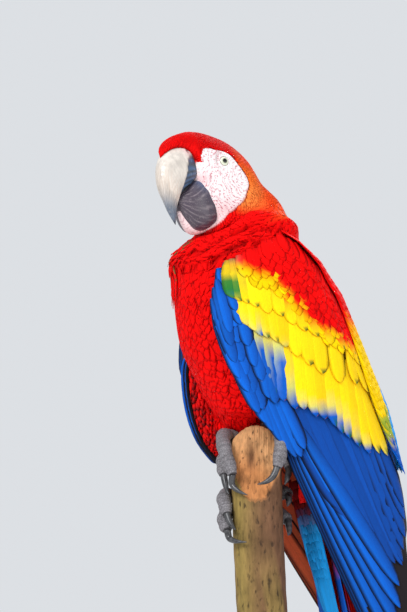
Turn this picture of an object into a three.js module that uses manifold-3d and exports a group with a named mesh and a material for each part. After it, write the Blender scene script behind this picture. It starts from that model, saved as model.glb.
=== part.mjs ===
// Life-size scarlet macaw on a broken branch, carried by a plain display stand.
// Millimetres, +Z up. The bird faces -Y and its left side is +X. The origin is the centre of
// the stand's underside, under the bird; the branch stands a little to its front left.
import * as THREE from "three";
import Module from "manifold-3d";

// ---- driving sizes ------------------------------------------------------------------
const gap = 0.3;             // clearance between neighbouring solids
const perchTop = 600;        // height of the branch's broken end
const perchPlace = [24, -11.5]; // X and Y of the branch and of its rod
const perchLength = 280;
const perchRadius = 22;
const baseRadius = 155;
const baseThickness = 18;
const rodRadius = 8;

const wingLength = 407;      // wrist to wing tip
const wingLean = 27.6;       // degrees that a folded wing leans back from the vertical
const tailLength = 495;
const tailLean = 12;         // degrees that the tail leans back from the vertical
const tailPairs = 6;

const eyeSpread = 25.5;      // half the distance between the eyes
const headOrigin = [4.7, -50.9, 827.6];      // midway between the eyes
const headYaw = 28.8;        // the head is turned to the bird's left
const headPitch = 3.2;
const headRoll = 6.9;

// ---- colours ------------------------------------------------------------------------
const finish = (color, roughness = 0.7, metalness = 0) =>
  new THREE.MeshStandardMaterial({ color, roughness, metalness });
const red = finish("#c8100c");
const yellow = finish("#f5c21a");
const blue = finish("#1456b4");
const bone = finish("#e6ddd0", 0.35);
const horn = finish("#2b2b30", 0.35);
const scale = finish("#5d5a58", 0.6);
const bark = finish("#7a5a3c", 0.9);
const steel = finish("#8d9196", 0.35, 1);
const baseBlack = finish("#26272a", 0.5);
const glass = finish("#e9e2a8", 0.1);

const bird = new THREE.Group();
bird.name = "macaw_on_stand";

// ---- small geometry tools -----------------------------------------------------------
const rad = THREE.MathUtils.degToRad;
const mix = (a, b, t) => a + (b - a) * t;
const vec = (p) => new THREE.Vector3(...p);

// Catmull-Rom value of a list of equal-spaced keys (numbers or arrays) at u in 0..count-1
function spline(keys, u) {
  const last = keys.length - 1;
  const i = Math.min(Math.max(Math.floor(u), 0), last - 1);
  const t = u - i;
  const key = (j) => keys[Math.min(Math.max(j, 0), last)];
  const curve = (a, b, c, d) =>
    b + 0.5 * t * (c - a + t * (2 * a - 5 * b + 4 * c - d + t * (3 * (b - c) + d - a)));
  const four = [key(i - 1), key(i), key(i + 1), key(i + 2)];
  if (typeof keys[0] === "number") return curve(...four);
  return four[1].map((_, k) => curve(...four.map((q) => q[k])));
}

// Value of a curve given as [position, value] pairs, straight between them
function graph(pairs, x) {
  const after = pairs.findIndex((q) => q[0] > x);
  const i = after < 0 ? pairs.length - 1 : Math.max(after, 1);
  const [a, b] = [pairs[i - 1], pairs[i]];
  return mix(a[1], b[1], THREE.MathUtils.clamp((x - a[0]) / (b[0] - a[0]), 0, 1));
}

// Closed solid through equal-sized rings of points. Each end is closed by a fan, or, in a
// plate whose ring goes out along one face and back along the other, by a strip between them.
function skinRings(rings, isPlate = false) {
  const count = rings[0].length;
  const points = rings.flat();
  const faces = [];
  for (let r = 0; r + 1 < rings.length; r += 1) {
    for (let k = 0; k < count; k += 1) {
      const a = r * count + k;
      const b = r * count + ((k + 1) % count);
      faces.push(a, b, b + count, a, b + count, a + count);
    }
  }
  for (const [start, flip] of [[0, true], [(rings.length - 1) * count, false]]) {
    if (isPlate) {
      for (let k = 0; k < count / 2 - 1; k += 1) {
        const [a, b, c, d] = [k, k + 1, count - 2 - k, count - 1 - k].map((j) => start + j);
        faces.push(...(flip ? [c, b, a, d, c, a] : [a, b, c, a, c, d]));
      }
      continue;
    }
    const ring = points.slice(start, start + count);
    const centre = ring.reduce((sum, p) => sum.add(p), new THREE.Vector3());
    points.push(centre.divideScalar(count));
    for (let k = 0; k < count; k += 1) {
      const [a, b] = [start + k, start + ((k + 1) % count)];
      faces.push(points.length - 1, flip ? b : a, flip ? a : b);
    }
  }
  return closed(points, faces);
}

// Geometry from points and triangles, turned so that its faces look outward
function closed(points, faces) {
  let volume = 0;
  for (let i = 0; i < faces.length; i += 3) {
    const [a, b, c] = [points[faces[i]], points[faces[i + 1]], points[faces[i + 2]]];
    volume += a.dot(b.clone().cross(c));
  }
  const index = volume > 0 ? faces : faces.slice().reverse();
  const geometry = new THREE.BufferGeometry();
  geometry.setAttribute("position",
    new THREE.Float32BufferAttribute(points.flatMap((p) => p.toArray()), 3));
  geometry.setIndex(index);
  return geometry;
}

// Section of a body: back point, belly point, sideways direction, half width, where the
// widest place lies between back and belly, and how square the section is
function sectionRing(section, count, grow = 0) {
  const [back, belly] = [vec(section.back), vec(section.belly)];
  const side = vec(section.side).normalize();
  const down = belly.clone().sub(back).normalize();
  back.addScaledVector(down, -grow);
  belly.addScaledVector(down, grow);
  const middle = back.clone().lerp(belly, section.widest);
  const power = 2 / section.square;
  return Array.from({ length: count }, (_, k) => {
    const angle = (2 * Math.PI * k) / count;
    const [c, s] = [Math.cos(angle), Math.sin(angle)];
    const end = c > 0 ? back : belly;
    return middle.clone().lerp(end, Math.abs(c) ** power)
      .addScaledVector(side, Math.sign(s) * Math.abs(s) ** power * (section.half + grow));
  });
}

// Solid through sections read off key sections at u, from u = first to u = last
function loft(keys, first, last, rows, count, grow = 0) {
  const rings = Array.from({ length: rows + 1 }, (_, r) => {
    const u = mix(first, last, r / rows);
    const section = Object.fromEntries(Object.keys(keys[0])
      .map((name) => [name, spline(keys.map((key) => key[name]), u)]));
    return sectionRing(section, count, grow);
  });
  return skinRings(rings);
}

// Round tube through points with a radius at each, and an optional flattening
function tube(points, radii, count = 7) {
  const path = points.map(vec);
  const rows = Math.round((path.length - 1) * 1.7);
  const at = (u) => vec(spline(points, u));
  let up = new THREE.Vector3(0.31, 0.17, 0.94);
  const rings = Array.from({ length: rows + 1 }, (_, r) => {
    const u = (r / rows) * (path.length - 1);
    const ahead = at(Math.min(u + 0.2, path.length - 1)).sub(at(Math.max(u - 0.2, 0)));
    ahead.normalize();
    const across = up.clone().cross(ahead).normalize();
    up = ahead.clone().cross(across);
    return Array.from({ length: count }, (_, k) => {
      const angle = (2 * Math.PI * k) / count;
      return at(u).addScaledVector(across, Math.cos(angle) * spline(radii, u))
        .addScaledVector(up, Math.sin(angle) * spline(radii, u));
    });
  });
  return skinRings(rings);
}

// ---- boolean cuts -------------------------------------------------------------------
const manifold = await Module();
manifold.setup();

function toManifold(geometry) {
  const solid = new manifold.Mesh({
    numProp: 3,
    vertProperties: new Float32Array(geometry.attributes.position.array),
    triVerts: new Uint32Array(geometry.index.array),
  });
  solid.merge();
  return new manifold.Manifold(solid);
}

function cut(geometry, ...cutters) {
  const solid = cutters.reduce((rest, cutter) => rest.subtract(toManifold(cutter)),
    toManifold(geometry));
  const pieces = solid.simplify(0.02).decompose().sort((a, b) => b.volume() - a.volume());
  const mesh = pieces[0].getMesh();
  const result = new THREE.BufferGeometry();
  const points = new Float32Array(mesh.numVert * 3);
  for (let i = 0; i < mesh.numVert; i += 1) {
    points.set(mesh.vertProperties.subarray(i * mesh.numProp, i * mesh.numProp + 3), i * 3);
  }
  result.setAttribute("position", new THREE.BufferAttribute(points, 3));
  result.setIndex(Array.from(mesh.triVerts));
  return result;
}

// Copy of a solid with every vertex moved out along its normal
function inflate(geometry, distance) {
  const grown = geometry.clone();
  grown.computeVertexNormals();
  const { position, normal } = grown.attributes;
  for (let i = 0; i < position.count; i += 1) {
    position.setXYZ(i, position.getX(i) + normal.getX(i) * distance,
      position.getY(i) + normal.getY(i) * distance, position.getZ(i) + normal.getZ(i) * distance);
  }
  return grown;
}

function add(name, geometry, material) {
  geometry.computeVertexNormals();
  const mesh = new THREE.Mesh(geometry, material.clone());
  mesh.name = name;
  bird.add(mesh);
  return geometry;
}

// ---- head frame ---------------------------------------------------------------------
// forward, left and top directions of the turned head
const headTurn = new THREE.Matrix4()
  .makeRotationZ(rad(headYaw))
  .multiply(new THREE.Matrix4().makeRotationX(rad(-headPitch)))
  .multiply(new THREE.Matrix4().makeRotationY(rad(-headRoll)));
const headPoint = (forward, left, top) =>
  vec([left, -forward, top]).applyMatrix4(headTurn).add(vec(headOrigin)).toArray();
const headSide = vec([1, 0, 0]).applyMatrix4(headTurn).toArray();

// ---- one body surface from the face to the root of the tail -------------------------
const headKey = (back, belly, half, widest, square = 2.15) => ({
  back: headPoint(back[0], 0, back[1]),
  belly: headPoint(belly[0], 0, belly[1]),
  side: headSide, half, widest, square,
});
const bodyKey = (back, belly, half, turn = 0) => ({
  back: back.length === 3 ? back : [0, ...back],
  belly: belly.length === 3 ? belly : [0, ...belly],
  side: [mix(1, headSide[0], turn), headSide[1] * turn, headSide[2] * turn],
  half, widest: 0.5, square: 2.25,
});
const bodyKeys = [
  headKey([38, 15], [10, -60], 18, 0.3, 2.7),
  headKey([32, 22], [6, -61.5], 21, 0.36, 2.5),
  headKey([20, 26], [2, -63], 24.5, 0.4, 2.3),
  headKey([3, 26.5], [-2, -64], 27.5, 0.42),
  headKey([-16, 23.5], [-6, -66], 30, 0.43),
  headKey([-34, 13.5], [-10, -69], 33, 0.45),
  headKey([-49, -5], [-11, -72], 36, 0.48),
  bodyKey([-13, 15, 801], [7, -56, 759], 39, 0.55),
  bodyKey([-5, 29, 784], [3, -69, 752], 43, 0.25),
  bodyKey([39, 764], [-77, 742], 46),
  bodyKey([52, 742], [-79, 722], 48.5),
  bodyKey([63, 717], [-77, 697], 50),
  bodyKey([70, 690], [-69, 668], 50.5),
  bodyKey([75, 662], [-54, 640], 48.5),
  bodyKey([79, 635], [-42, 619], 44.5),
  bodyKey([81, 611], [-27, 606.5], 38),
  bodyKey([82, 588], [24, 610], 34),
  bodyKey([81, 566], [35, 586], 31),
  bodyKey([78.5, 545.5], [42, 538], 28),
];
const headEnd = 6.5;         // place along the keys where the head meets the neck
const neckEnd = 9.5;
const bodyEnd = bodyKeys.length - 1;
const body = (first, last, rows, grow) => loft(bodyKeys, first, last, rows, 20, grow);

// ---- beak ---------------------------------------------------------------------------
const beakKey = (top, low, half, widest = 0.62) => ({
  back: headPoint(top[0], 0, top[1]),
  belly: headPoint(low[0], 0, low[1]),
  side: headSide, half, widest, square: 2.3,
});
const upperKeys = [
  beakKey([35, 12], [24, -22], 14.8),
  beakKey([45.5, 9.5], [30, -26.5], 14.4),
  beakKey([55.5, 1], [36, -31], 13),
  beakKey([61.5, -12], [40, -36], 11, 0.6),
  beakKey([62, -27], [42, -41], 8.4, 0.58),
  beakKey([57.5, -40], [42.5, -46], 5.6, 0.55),
  beakKey([50.5, -50.5], [42, -51.5], 3, 0.5),
  beakKey([43, -57.6], [41.8, -56.8], 0.6, 0.5),
];
const lowerKeys = [
  beakKey([21, -23.5], [0, -54], 19, 0.55),
  beakKey([25, -30], [9, -61], 17.5, 0.5),
  beakKey([30, -36], [21, -62.5], 15, 0.42),
  beakKey([34.5, -41.5], [31.5, -57.5], 11, 0.36),
  beakKey([38, -46.5], [38.2, -50], 6.4, 0.4),
];
const upper = loft(upperKeys, 0, 7, 11, 14);
const lower = loft(lowerKeys, 0, 4, 6, 14);

// ---- eyes ---------------------------------------------------------------------------
const eyeRadius = 6.2;
const eyePoint = (sign) => headPoint(1.3, sign * (eyeSpread - 4.8), -2.4);
const eyeBall = (sign, radius, detail = 2) =>
  indexed(new THREE.IcosahedronGeometry(radius, detail).translate(...eyePoint(sign)));

// Shared-vertex copy of a geometry made of loose triangles
function indexed(geometry) {
  const source = geometry.attributes.position;
  const seen = new Map();
  const points = [];
  const faces = [];
  for (let i = 0; i < source.count; i += 1) {
    const point = new THREE.Vector3().fromBufferAttribute(source, i);
    const key = point.toArray().map((value) => value.toFixed(4)).join();
    if (!seen.has(key)) {
      seen.set(key, points.length);
      points.push(point);
    }
    faces.push(seen.get(key));
  }
  return closed(points, faces);
}

add("head", cut(body(0, headEnd - 0.01, 10, 0), inflate(lower, 1.4 * gap),
  inflate(upper, 1.4 * gap), eyeBall(1, eyeRadius + 1, 1), eyeBall(-1, eyeRadius + 1, 1)), red);
const neck = add("neck", body(headEnd + 0.01, neckEnd - 0.01, 6, 0), red);
const neckRoom = inflate(neck, 1.4 * gap);
add("beak_upper", upper, bone);
add("beak_lower", lower, horn);
add("eye_left", eyeBall(1, eyeRadius), glass);
add("eye_right", eyeBall(-1, eyeRadius), glass);
const trunk = add("trunk", body(neckEnd + 0.01, bodyEnd, 13, 0), red);
const trunkRoom = inflate(trunk, 1.4 * gap);

// ---- wings --------------------------------------------------------------------------
// A folded wing is a curved plate. along runs from the wrist to the tip, across runs from
// the leading edge towards the back.
const wrist = [0, -62, 728];
const frontEdges = {
  left: [[-4, 22], [4, 2], [12, -10], [24, -17], [60, -23], [110, -28], [144, -27], [160, -19],
    [178, -15], [215, -16], [290, -9], [360, -1], [wingLength, 7]],
  right: [[-4, 34], [12, 18], [40, -2], [57, -13], [80, -24], [108, -30], [150, -33], [185, -31],
    [253, -13], [290, -8], [360, -1], [wingLength, 7]],
};
const backEdges = {
  left: [[-4, 86], [10, 96], [36, 106], [70, 110], [120, 105], [145, 101], [170, 98], [205, 95],
    [234, 88], [252, 72], [303, 42], [350, 26], [wingLength, 9.5]],
  right: [[-4, 86], [10, 98], [36, 114], [70, 122], [120, 124], [145, 126], [170, 127], [205, 123],
    [238, 112], [258, 91], [303, 52], [350, 29], [wingLength, 9.5]],
};
const widthOut = [[-4, 56], [10, 60], [40, 63], [100, 64], [160, 60], [220, 53], [290, 44],
  [330, 38], [360, 30], [wingLength, 15]];
const thickness = [[0, 6.5], [120, 6.5], [220, 7], [300, 4.5], [wingLength, 1.6]];
const splitLine = 35;        // across position of the cut between primaries and secondaries

function wingPoint(side, along, across, depth) {
  const lean = rad(wingLean);
  const sign = side === "left" ? 1 : -1;
  const offset = across - 25;
  const backSpan = Math.max(graph(backEdges[side], along), 70) - 23 + Math.max(9 - along / 6, 0);
  const reach = Math.abs(offset) / (offset < 0 ? 80 : backSpan);
  const arch = (1 - Math.min(reach, 0.99) ** 2.4) ** (1 / 2.4);
  const spread = sign < 0 ? 5 * Math.sin(Math.PI * Math.min(along / 330, 1)) : 0;
  const out = graph(widthOut, along) * arch + spread - depth;
  return new THREE.Vector3(sign * out,
    wrist[1] + along * Math.sin(lean) + across * Math.cos(lean),
    wrist[2] - along * Math.cos(lean) + across * Math.sin(lean));
}

// Plate between two limits along the wing and two limits across it. The limits along are
// functions of the share of the width, and those across are functions of the place along.
function wingPlate(side, from, to, front, back, columns, rows) {
  const low = (along) => graph(frontEdges[side], along);
  const high = (along) => graph(backEdges[side], along);
  const shareOf = (edge, along) =>
    THREE.MathUtils.clamp((edge - low(along)) / (high(along) - low(along)), 0, 1);
  const ring = (v) => {
    const outer = [];
    const inner = [];
    for (let c = 0; c <= columns; c += 1) {
      let along = 120;
      let share = 0;
      for (let step = 0; step < 30; step += 1) {
        share = mix(shareOf(front(along), along), shareOf(back(along), along), c / columns);
        along = mix(along, mix(from(share), to(share), v), 0.6);
      }
      const across = mix(low(along), high(along), share);
      const round = Math.sqrt(Math.sin(Math.PI * share) + 1e-6);
      const depth = mix(1.4, graph(thickness, along), round);
      outer.push(wingPoint(side, along, across, 0));
      inner.unshift(wingPoint(side, along, across, depth));
    }
    return outer.concat(inner);
  };
  return skinRings(Array.from({ length: rows + 1 }, (_, r) => ring(r / rows)), true);
}

const coverLine = (share) => 6 + 200 * share ** 2.6;
const flightLine = (share) => 14 + 213 * share ** 0.65;
const wholeFront = () => -1e3;
const wholeBack = () => 1e3;
const beforeSplit = () => splitLine - gap / 2;
const afterSplit = () => splitLine + gap / 2;
const wings = {};
for (const side of ["left", "right"]) {
  const plate = (...limits) => wingPlate(side, ...limits);
  const coverts = plate((a) => coverLine(a) + gap, flightLine, wholeFront, wholeBack, 8, 5);
  const room = inflate(coverts, 1.4 * gap);
  wings[side] = {
    shoulder: cut(plate((a) => mix(-3, 14, a), coverLine, wholeFront, wholeBack, 8, 3), room,
      trunkRoom, neckRoom),
    coverts,
    primaries: cut(plate((a) => flightLine(a) + 5 * gap, () => wingLength, wholeFront, beforeSplit, 4, 12),
      room, coverts),
    secondaries: cut(plate((a) => flightLine(a) + 5 * gap, () => 304, afterSplit, wholeBack, 5, 6), room),
  };
  add(`wing_${side}_shoulder`, wings[side].shoulder, red);
  add(`wing_${side}_coverts`, coverts, yellow);
  add(`wing_${side}_primaries`, wings[side].primaries, blue);
  add(`wing_${side}_secondaries`, wings[side].secondaries, blue);
}

// ---- tail ---------------------------------------------------------------------------
const tailRoot = [0, 60, 542];
const tailPoint = (side, along, up) => {
  const lean = rad(tailLean);
  const lift = up - side * side / 260;
  return new THREE.Vector3(side, tailRoot[1] + along * Math.sin(lean) + lift * Math.cos(lean),
    tailRoot[2] - along * Math.cos(lean) + lift * Math.sin(lean));
};
const layerStep = 1.45;
function tailFeather(pair, sign) {
  const length = tailLength * [1, 0.83, 0.69, 0.57, 0.47, 0.39][pair];
  const layer = 2 * pair + (sign < 0 ? 1 : 0);
  const level = (5.5 - layer) * layerStep;
  const rings = Array.from({ length: 8 }, (_, r) => {
    const share = r / 7;
    const along = 1.5 + (length - 1.5) * (1 - (1 - share) ** 1.4);
    const wide = graph([[0, 5], [0.25, 9], [0.6, 12.5], [0.85, 9.5], [0.95, 5], [1, 0.9]],
      along / length);
    const centre = sign * (3 + 2.3 * pair + 0.012 * pair * along);
    return Array.from({ length: 6 }, (_, k) => {
      const angle = (2 * Math.PI * k) / 6;
      return tailPoint(centre + wide * Math.cos(angle), along, level + 0.62 * Math.sin(angle));
    });
  });
  return skinRings(rings);
}
for (let pair = 0; pair < tailPairs; pair += 1) {
  add(`tail_feather_left_${pair + 1}`, tailFeather(pair, 1), pair < 4 ? red : blue);
  add(`tail_feather_right_${pair + 1}`, tailFeather(pair, -1), pair < 4 ? red : blue);
}

// Covert wedge above (+1) or below (-1) the stack of tail feathers
function tailCovert(sign, length) {
  const near = sign * (6.5 * layerStep + 0.4);
  const rings = Array.from({ length: 7 }, (_, r) => {
    const share = r / 6;
    const along = mix(1.5, length, share);
    const half = mix(27, 6, share ** 1.6);
    const deep = mix(8.5, 1.2, share ** 0.8) / 2;
    return Array.from({ length: 10 }, (_, k) => {
      const angle = (2 * Math.PI * k) / 10;
      const side = half * Math.cos(angle);
      return tailPoint(side, along, near + sign * deep * (1 + Math.sin(angle)));
    });
  });
  return skinRings(rings);
}
add("tail_coverts_upper", tailCovert(1, 125), blue);
add("tail_coverts_lower", tailCovert(-1, 135), blue);

// ---- legs and feet ------------------------------------------------------------------
// Both feet hold the branch from its far side, two toes round the front and two behind.
const perchBend = (z) => graph([[0, 1], [60, 4.5], [120, 6], [190, 2], [perchLength, 0]],
  z - perchTop + perchLength);
const onPerch = ([degrees, z], radius) => [perchPlace[0] + radius * Math.cos(rad(degrees)),
  perchPlace[1] + perchBend(z) + radius * Math.sin(rad(degrees)), z];
const toeRadius = 5.6;
const hug = perchRadius + toeRadius + 0.8;
const legs = {
  left: {
    thigh: [[26, 8, 642], [27, 16, 624], [22, 23, 611], [16, 26, 603]], bulk: [16, 16, 12, 7],
    tarsus: [[11, 22, 604], [4, 15, 600], [-2, 6, 595], [-5, -2, 590], [-4, -8, 584]],
    toes: {
      inner: { stops: [[-158, 591], [-136, 592], [-114, 588], [-94, 579], [-78, 566], [-67, 555]],
        claw: [[-71, 547], [-58, 541], [-39, 537]] },
      middle: { stops: [[-162, 579], [-142, 577], [-124, 571], [-113, 563], [-105, 556]],
        claw: [[-100, 549], [-95, 543], [-88, 539]] },
      outer: { stops: [[146, 594], [118, 595], [90, 591], [66, 584], [48, 575], [37, 567]],
        claw: [[31, 560], [16, 555], [-1, 552]] },
      hind: { stops: [[152, 581], [126, 581], [98, 577], [78, 569], [67, 562]],
        claw: [[59, 556], [52, 551], [46, 547]] },
    },
  },
  right: {
    thigh: [[-29, -14, 638], [-34, -12, 614], [-34, -7, 594], [-28, 5, 578]], bulk: [16, 15.5, 13, 8],
    tarsus: [[-27, 8, 574], [-21, 5, 563], [-13, 1, 551], [-6, -3, 541], [-4, -7, 533]],
    toes: {
      inner: { stops: [[-158, 540], [-136, 540], [-114, 537], [-98, 530], [-88, 522]],
        claw: [[-82, 516], [-75, 511], [-68, 508]] },
      middle: { stops: [[-160, 527], [-137, 525], [-115, 520], [-98, 513], [-88, 508]],
        claw: [[-84, 501], [-66, 498], [-44, 497]] },
      outer: { stops: [[152, 541], [128, 543], [104, 543], [86, 540]],
        claw: [[76, 536], [68, 532], [61, 529]] },
      hind: { stops: [[154, 527], [130, 525], [108, 522], [92, 518]],
        claw: [[82, 512], [71, 507], [59, 504]] },
    },
  },
};

// ---- branch and stand ---------------------------------------------------------------
// The branch is a slightly knobbly column whose end was broken off at a slant.
function perchSolid() {
  const rings = Array.from({ length: 11 }, (_, r) => {
    const z = mix(perchTop - perchLength, perchTop, r / 10);
    return Array.from({ length: 20 }, (_, k) => {
      const angle = (2 * Math.PI * k) / 20;
      const radius = perchRadius + 0.3 * Math.sin(3 * angle + z / 31);
      return vec(onPerch([THREE.MathUtils.radToDeg(angle), z], radius));
    });
  });
  const column = skinRings(rings);
  const slant = new THREE.BoxGeometry(120, 120, 200);
  slant.translate(60, 0, 0);
  slant.rotateY(rad(-22.4));
  slant.translate(-6, 0, perchTop);
  slant.rotateZ(rad(-24));
  slant.translate(...perchPlace, 0);
  return cut(column, indexed(slant.toNonIndexed()));
}
add("perch", perchSolid(), bark);
const base = new THREE.CylinderGeometry(baseRadius, baseRadius, baseThickness, 48, 1);
base.rotateX(Math.PI / 2);
base.translate(0, 0, baseThickness / 2);
add("stand_base", indexed(base.toNonIndexed()), baseBlack);
const rodLength = perchTop - perchLength - baseThickness - 2 * gap;
const rod = new THREE.CylinderGeometry(rodRadius, rodRadius, rodLength, 24, 1);
rod.rotateX(Math.PI / 2);
rod.translate(...perchPlace, baseThickness + gap + rodLength / 2);
add("stand_rod", indexed(rod.toNonIndexed()), steel);

for (const [side, leg] of Object.entries(legs)) {
  const tarsus = tube(leg.tarsus, [6.2, 5.8, 5.6, 6.2, 5.2]);
  const tarsusRoom = inflate(tarsus, 1.4 * gap);
  const wingRoom = inflate(wings[side].primaries, 1.4 * gap);
  add(`thigh_${side}`, cut(tube(leg.thigh, leg.bulk, 12), trunkRoom, tarsusRoom, wingRoom), red);
  add(`tarsus_${side}`, cut(tarsus, trunkRoom), scale);
  for (const [name, { stops, claw }] of Object.entries(leg.toes)) {
    const route = stops.map((stop) => onPerch(stop, hug));
    const toe = tube(route, route.map((_, k) => toeRadius - 0.15 * k));
    add(`toe_${side}_${name}`, cut(toe, tarsusRoom, wingRoom), scale);
    const nail = tube([stops.at(-1), ...claw].map((stop, k) => onPerch(stop, hug - 0.8 * k)),
      [3, 2.8, 1.9, 0.4], 5);
    add(`claw_${side}_${name}`, cut(nail, inflate(toe, 1.4 * gap)), horn);
  }
}

export default bird;
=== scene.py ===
import math

import bpy
import numpy as np
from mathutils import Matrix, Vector


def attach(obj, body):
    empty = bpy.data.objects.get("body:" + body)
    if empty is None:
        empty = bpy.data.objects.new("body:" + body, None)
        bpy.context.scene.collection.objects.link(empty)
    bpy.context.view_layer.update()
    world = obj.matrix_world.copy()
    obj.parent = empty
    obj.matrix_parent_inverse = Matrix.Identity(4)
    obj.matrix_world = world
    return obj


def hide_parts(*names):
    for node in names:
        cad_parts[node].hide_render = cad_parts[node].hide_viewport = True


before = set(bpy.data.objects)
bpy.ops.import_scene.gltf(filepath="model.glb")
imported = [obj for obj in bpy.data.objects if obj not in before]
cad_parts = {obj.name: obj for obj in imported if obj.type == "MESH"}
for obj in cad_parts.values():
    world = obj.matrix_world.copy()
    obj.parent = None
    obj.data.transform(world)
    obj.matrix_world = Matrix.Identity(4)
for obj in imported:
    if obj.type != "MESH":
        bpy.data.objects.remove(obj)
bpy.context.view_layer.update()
rng = np.random.default_rng(11)
mm = 0.001


# small sums on whole arrays


def blend(a, b, t):
    return a + (b - a) * t


def smooth(low, high, x):  # 0 below low, 1 above high, a soft S between
    t = np.clip((x - low) / (high - low), 0, 1)
    return t * t * (3 - 2 * t)


def fade(low, high, x):  # 1 below low, 0 above high
    return 1 - smooth(low, high, x)


def bell(x, width):  # 1 at 0, falling off over width
    return np.exp(-(x / width) ** 2)


def unit(v):
    return v / np.maximum(np.linalg.norm(v, axis=-1, keepdims=True), 1e-9)


def dye(colour, other, share):  # colour turned into other by a share at each point
    return blend(colour, other, share[..., None])


def pack(*values):  # arrays as the last axis of one array
    return np.stack(np.broadcast_arrays(*values), -1)


def lattice(first, second):
    return np.meshgrid(first, second, indexing="ij")


def circle(count):
    return np.linspace(0, 2 * np.pi, count, endpoint=False)


def ended(values):  # first and last row once more, for the rings that shut a part's ends
    return np.concatenate([values[:1], values, values[-1:]])


def wheel(first, second, angle):  # turned by an angle from one direction towards another
    return first * np.cos(angle)[..., None] + second * np.sin(angle)[..., None]


def graph(pairs, x):  # straight lines through (x, value) pairs
    pairs = np.array(pairs, float)
    return np.interp(x, pairs[:, 0], pairs[:, 1])


def keyed(keys, u):  # Catmull-Rom curve through equally spaced keys, at u from 0 to the last key
    keys = np.asarray(keys, float)
    last = len(keys) - 1
    u = np.asarray(u, float)
    i = np.clip(np.floor(u).astype(int), 0, last - 1)
    a, b, c, d = (keys[np.clip(i + k, 0, last)] for k in (-1, 0, 1, 2))
    t = u - i
    t = t if keys.ndim == 1 else t[..., None]
    return b + 0.5 * t * (c - a + t * (2 * a - 5 * b + 4 * c - d + t * (3 * (b - c) + d - a)))


def turned(axis, degrees):  # turn matrix about an axis
    c, s = math.cos(math.radians(degrees)), math.sin(math.radians(degrees))
    turns = {"x": [[1, 0, 0], [0, c, -s], [0, s, c]], "y": [[c, 0, s], [0, 1, 0], [-s, 0, c]],
             "z": [[c, -s, 0], [s, c, 0], [0, 0, 1]]}
    return np.array(turns[axis])


# shader nodes: a Wire is a socket that takes part in Python sums


class Wire:
    def __init__(self, paint, socket):
        self.paint, self.socket = paint, socket

    def calc(self, operation, a, b):
        return self.paint.node("ShaderNodeMath", {"operation": operation}, {0: a, 1: b})

    def __add__(self, other): return self.calc("ADD", self, other)
    def __sub__(self, other): return self.calc("SUBTRACT", self, other)
    def __rsub__(self, other): return self.calc("SUBTRACT", other, self)
    def __mul__(self, other): return self.calc("MULTIPLY", self, other)
    def __lt__(self, other): return self.calc("LESS_THAN", self, other)
    def __abs__(self): return self.calc("ABSOLUTE", self, 0.0)
    __radd__ = __add__
    __rmul__ = __mul__


class Paint:
    def __init__(self, name, **constants):
        self.material = bpy.data.materials.new(name)
        self.material.use_nodes = True
        self.tree = self.material.node_tree
        self.shader = self.tree.nodes["Principled BSDF"]
        for socket, value in constants.items():
            self.shader.inputs[socket.replace("_", " ")].default_value = value

    def node(self, kind, settings=None, sockets=None, output=0):
        made = self.tree.nodes.new(kind)
        for key, value in (settings or {}).items():
            if key == "stops":
                ramp = made.color_ramp.elements
                while len(ramp) < len(value):
                    ramp.new(0.5)
                for stop, (place, colour) in zip(ramp, value):
                    stop.position, stop.color = place, (*colour, 1)
            else:
                setattr(made, key, value)
        for key, value in (sockets or {}).items():
            socket = made.inputs[key]
            if isinstance(value, Wire):
                self.tree.links.new(value.socket, socket)
            else:
                socket.default_value = (*value, 1) if socket.type == "RGBA" else value
        return Wire(self, made.outputs[output])

    def feed(self, socket, wire):
        self.tree.links.new(wire.socket, self.shader.inputs[socket])

    def attribute(self, name, output="Color"):
        return self.node("ShaderNodeAttribute", {"attribute_name": name}, output=output)

    def place(self):
        return self.node("ShaderNodeTexCoord", output="Object")

    def split(self, vector, axis):
        return self.node("ShaderNodeSeparateXYZ", sockets={0: vector}, output=axis)

    def join(self, x, y, z):
        return self.node("ShaderNodeCombineXYZ", sockets={0: x, 1: y, 2: z})

    def stretched(self, vector, scale):
        return self.node("ShaderNodeVectorMath", {"operation": "MULTIPLY"}, {0: vector, 1: scale})

    def noise(self, vector, scale, detail=3.0, rough=0.55):
        return self.node("ShaderNodeTexNoise", sockets={
            "Vector": vector, "Scale": scale, "Detail": detail, "Roughness": rough})

    def mix(self, amount, first, second, way="MIX"):
        return self.node("ShaderNodeMix", {"data_type": "RGBA", "blend_type": way},
                         {0: amount, 6: first, 7: second}, output=2)

    def shaded(self, colour, shade):
        return self.mix(1.0, colour, self.join(shade, shade, shade), "MULTIPLY")

    def between(self, value, low, high, start=0.0, end=1.0):
        return self.node("ShaderNodeMapRange", sockets={
            "Value": value, 1: low, 2: high, 3: start, 4: end})

    def bump(self, height, strength, distance=1.0):
        self.feed("Normal", self.node("ShaderNodeBump", sockets={
            "Height": height, "Strength": strength, "Distance": distance * mm}))


# meshes


def linked(name, data):
    thing = bpy.data.objects.new(name, data)
    bpy.context.scene.collection.objects.link(thing)
    return thing


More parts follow.
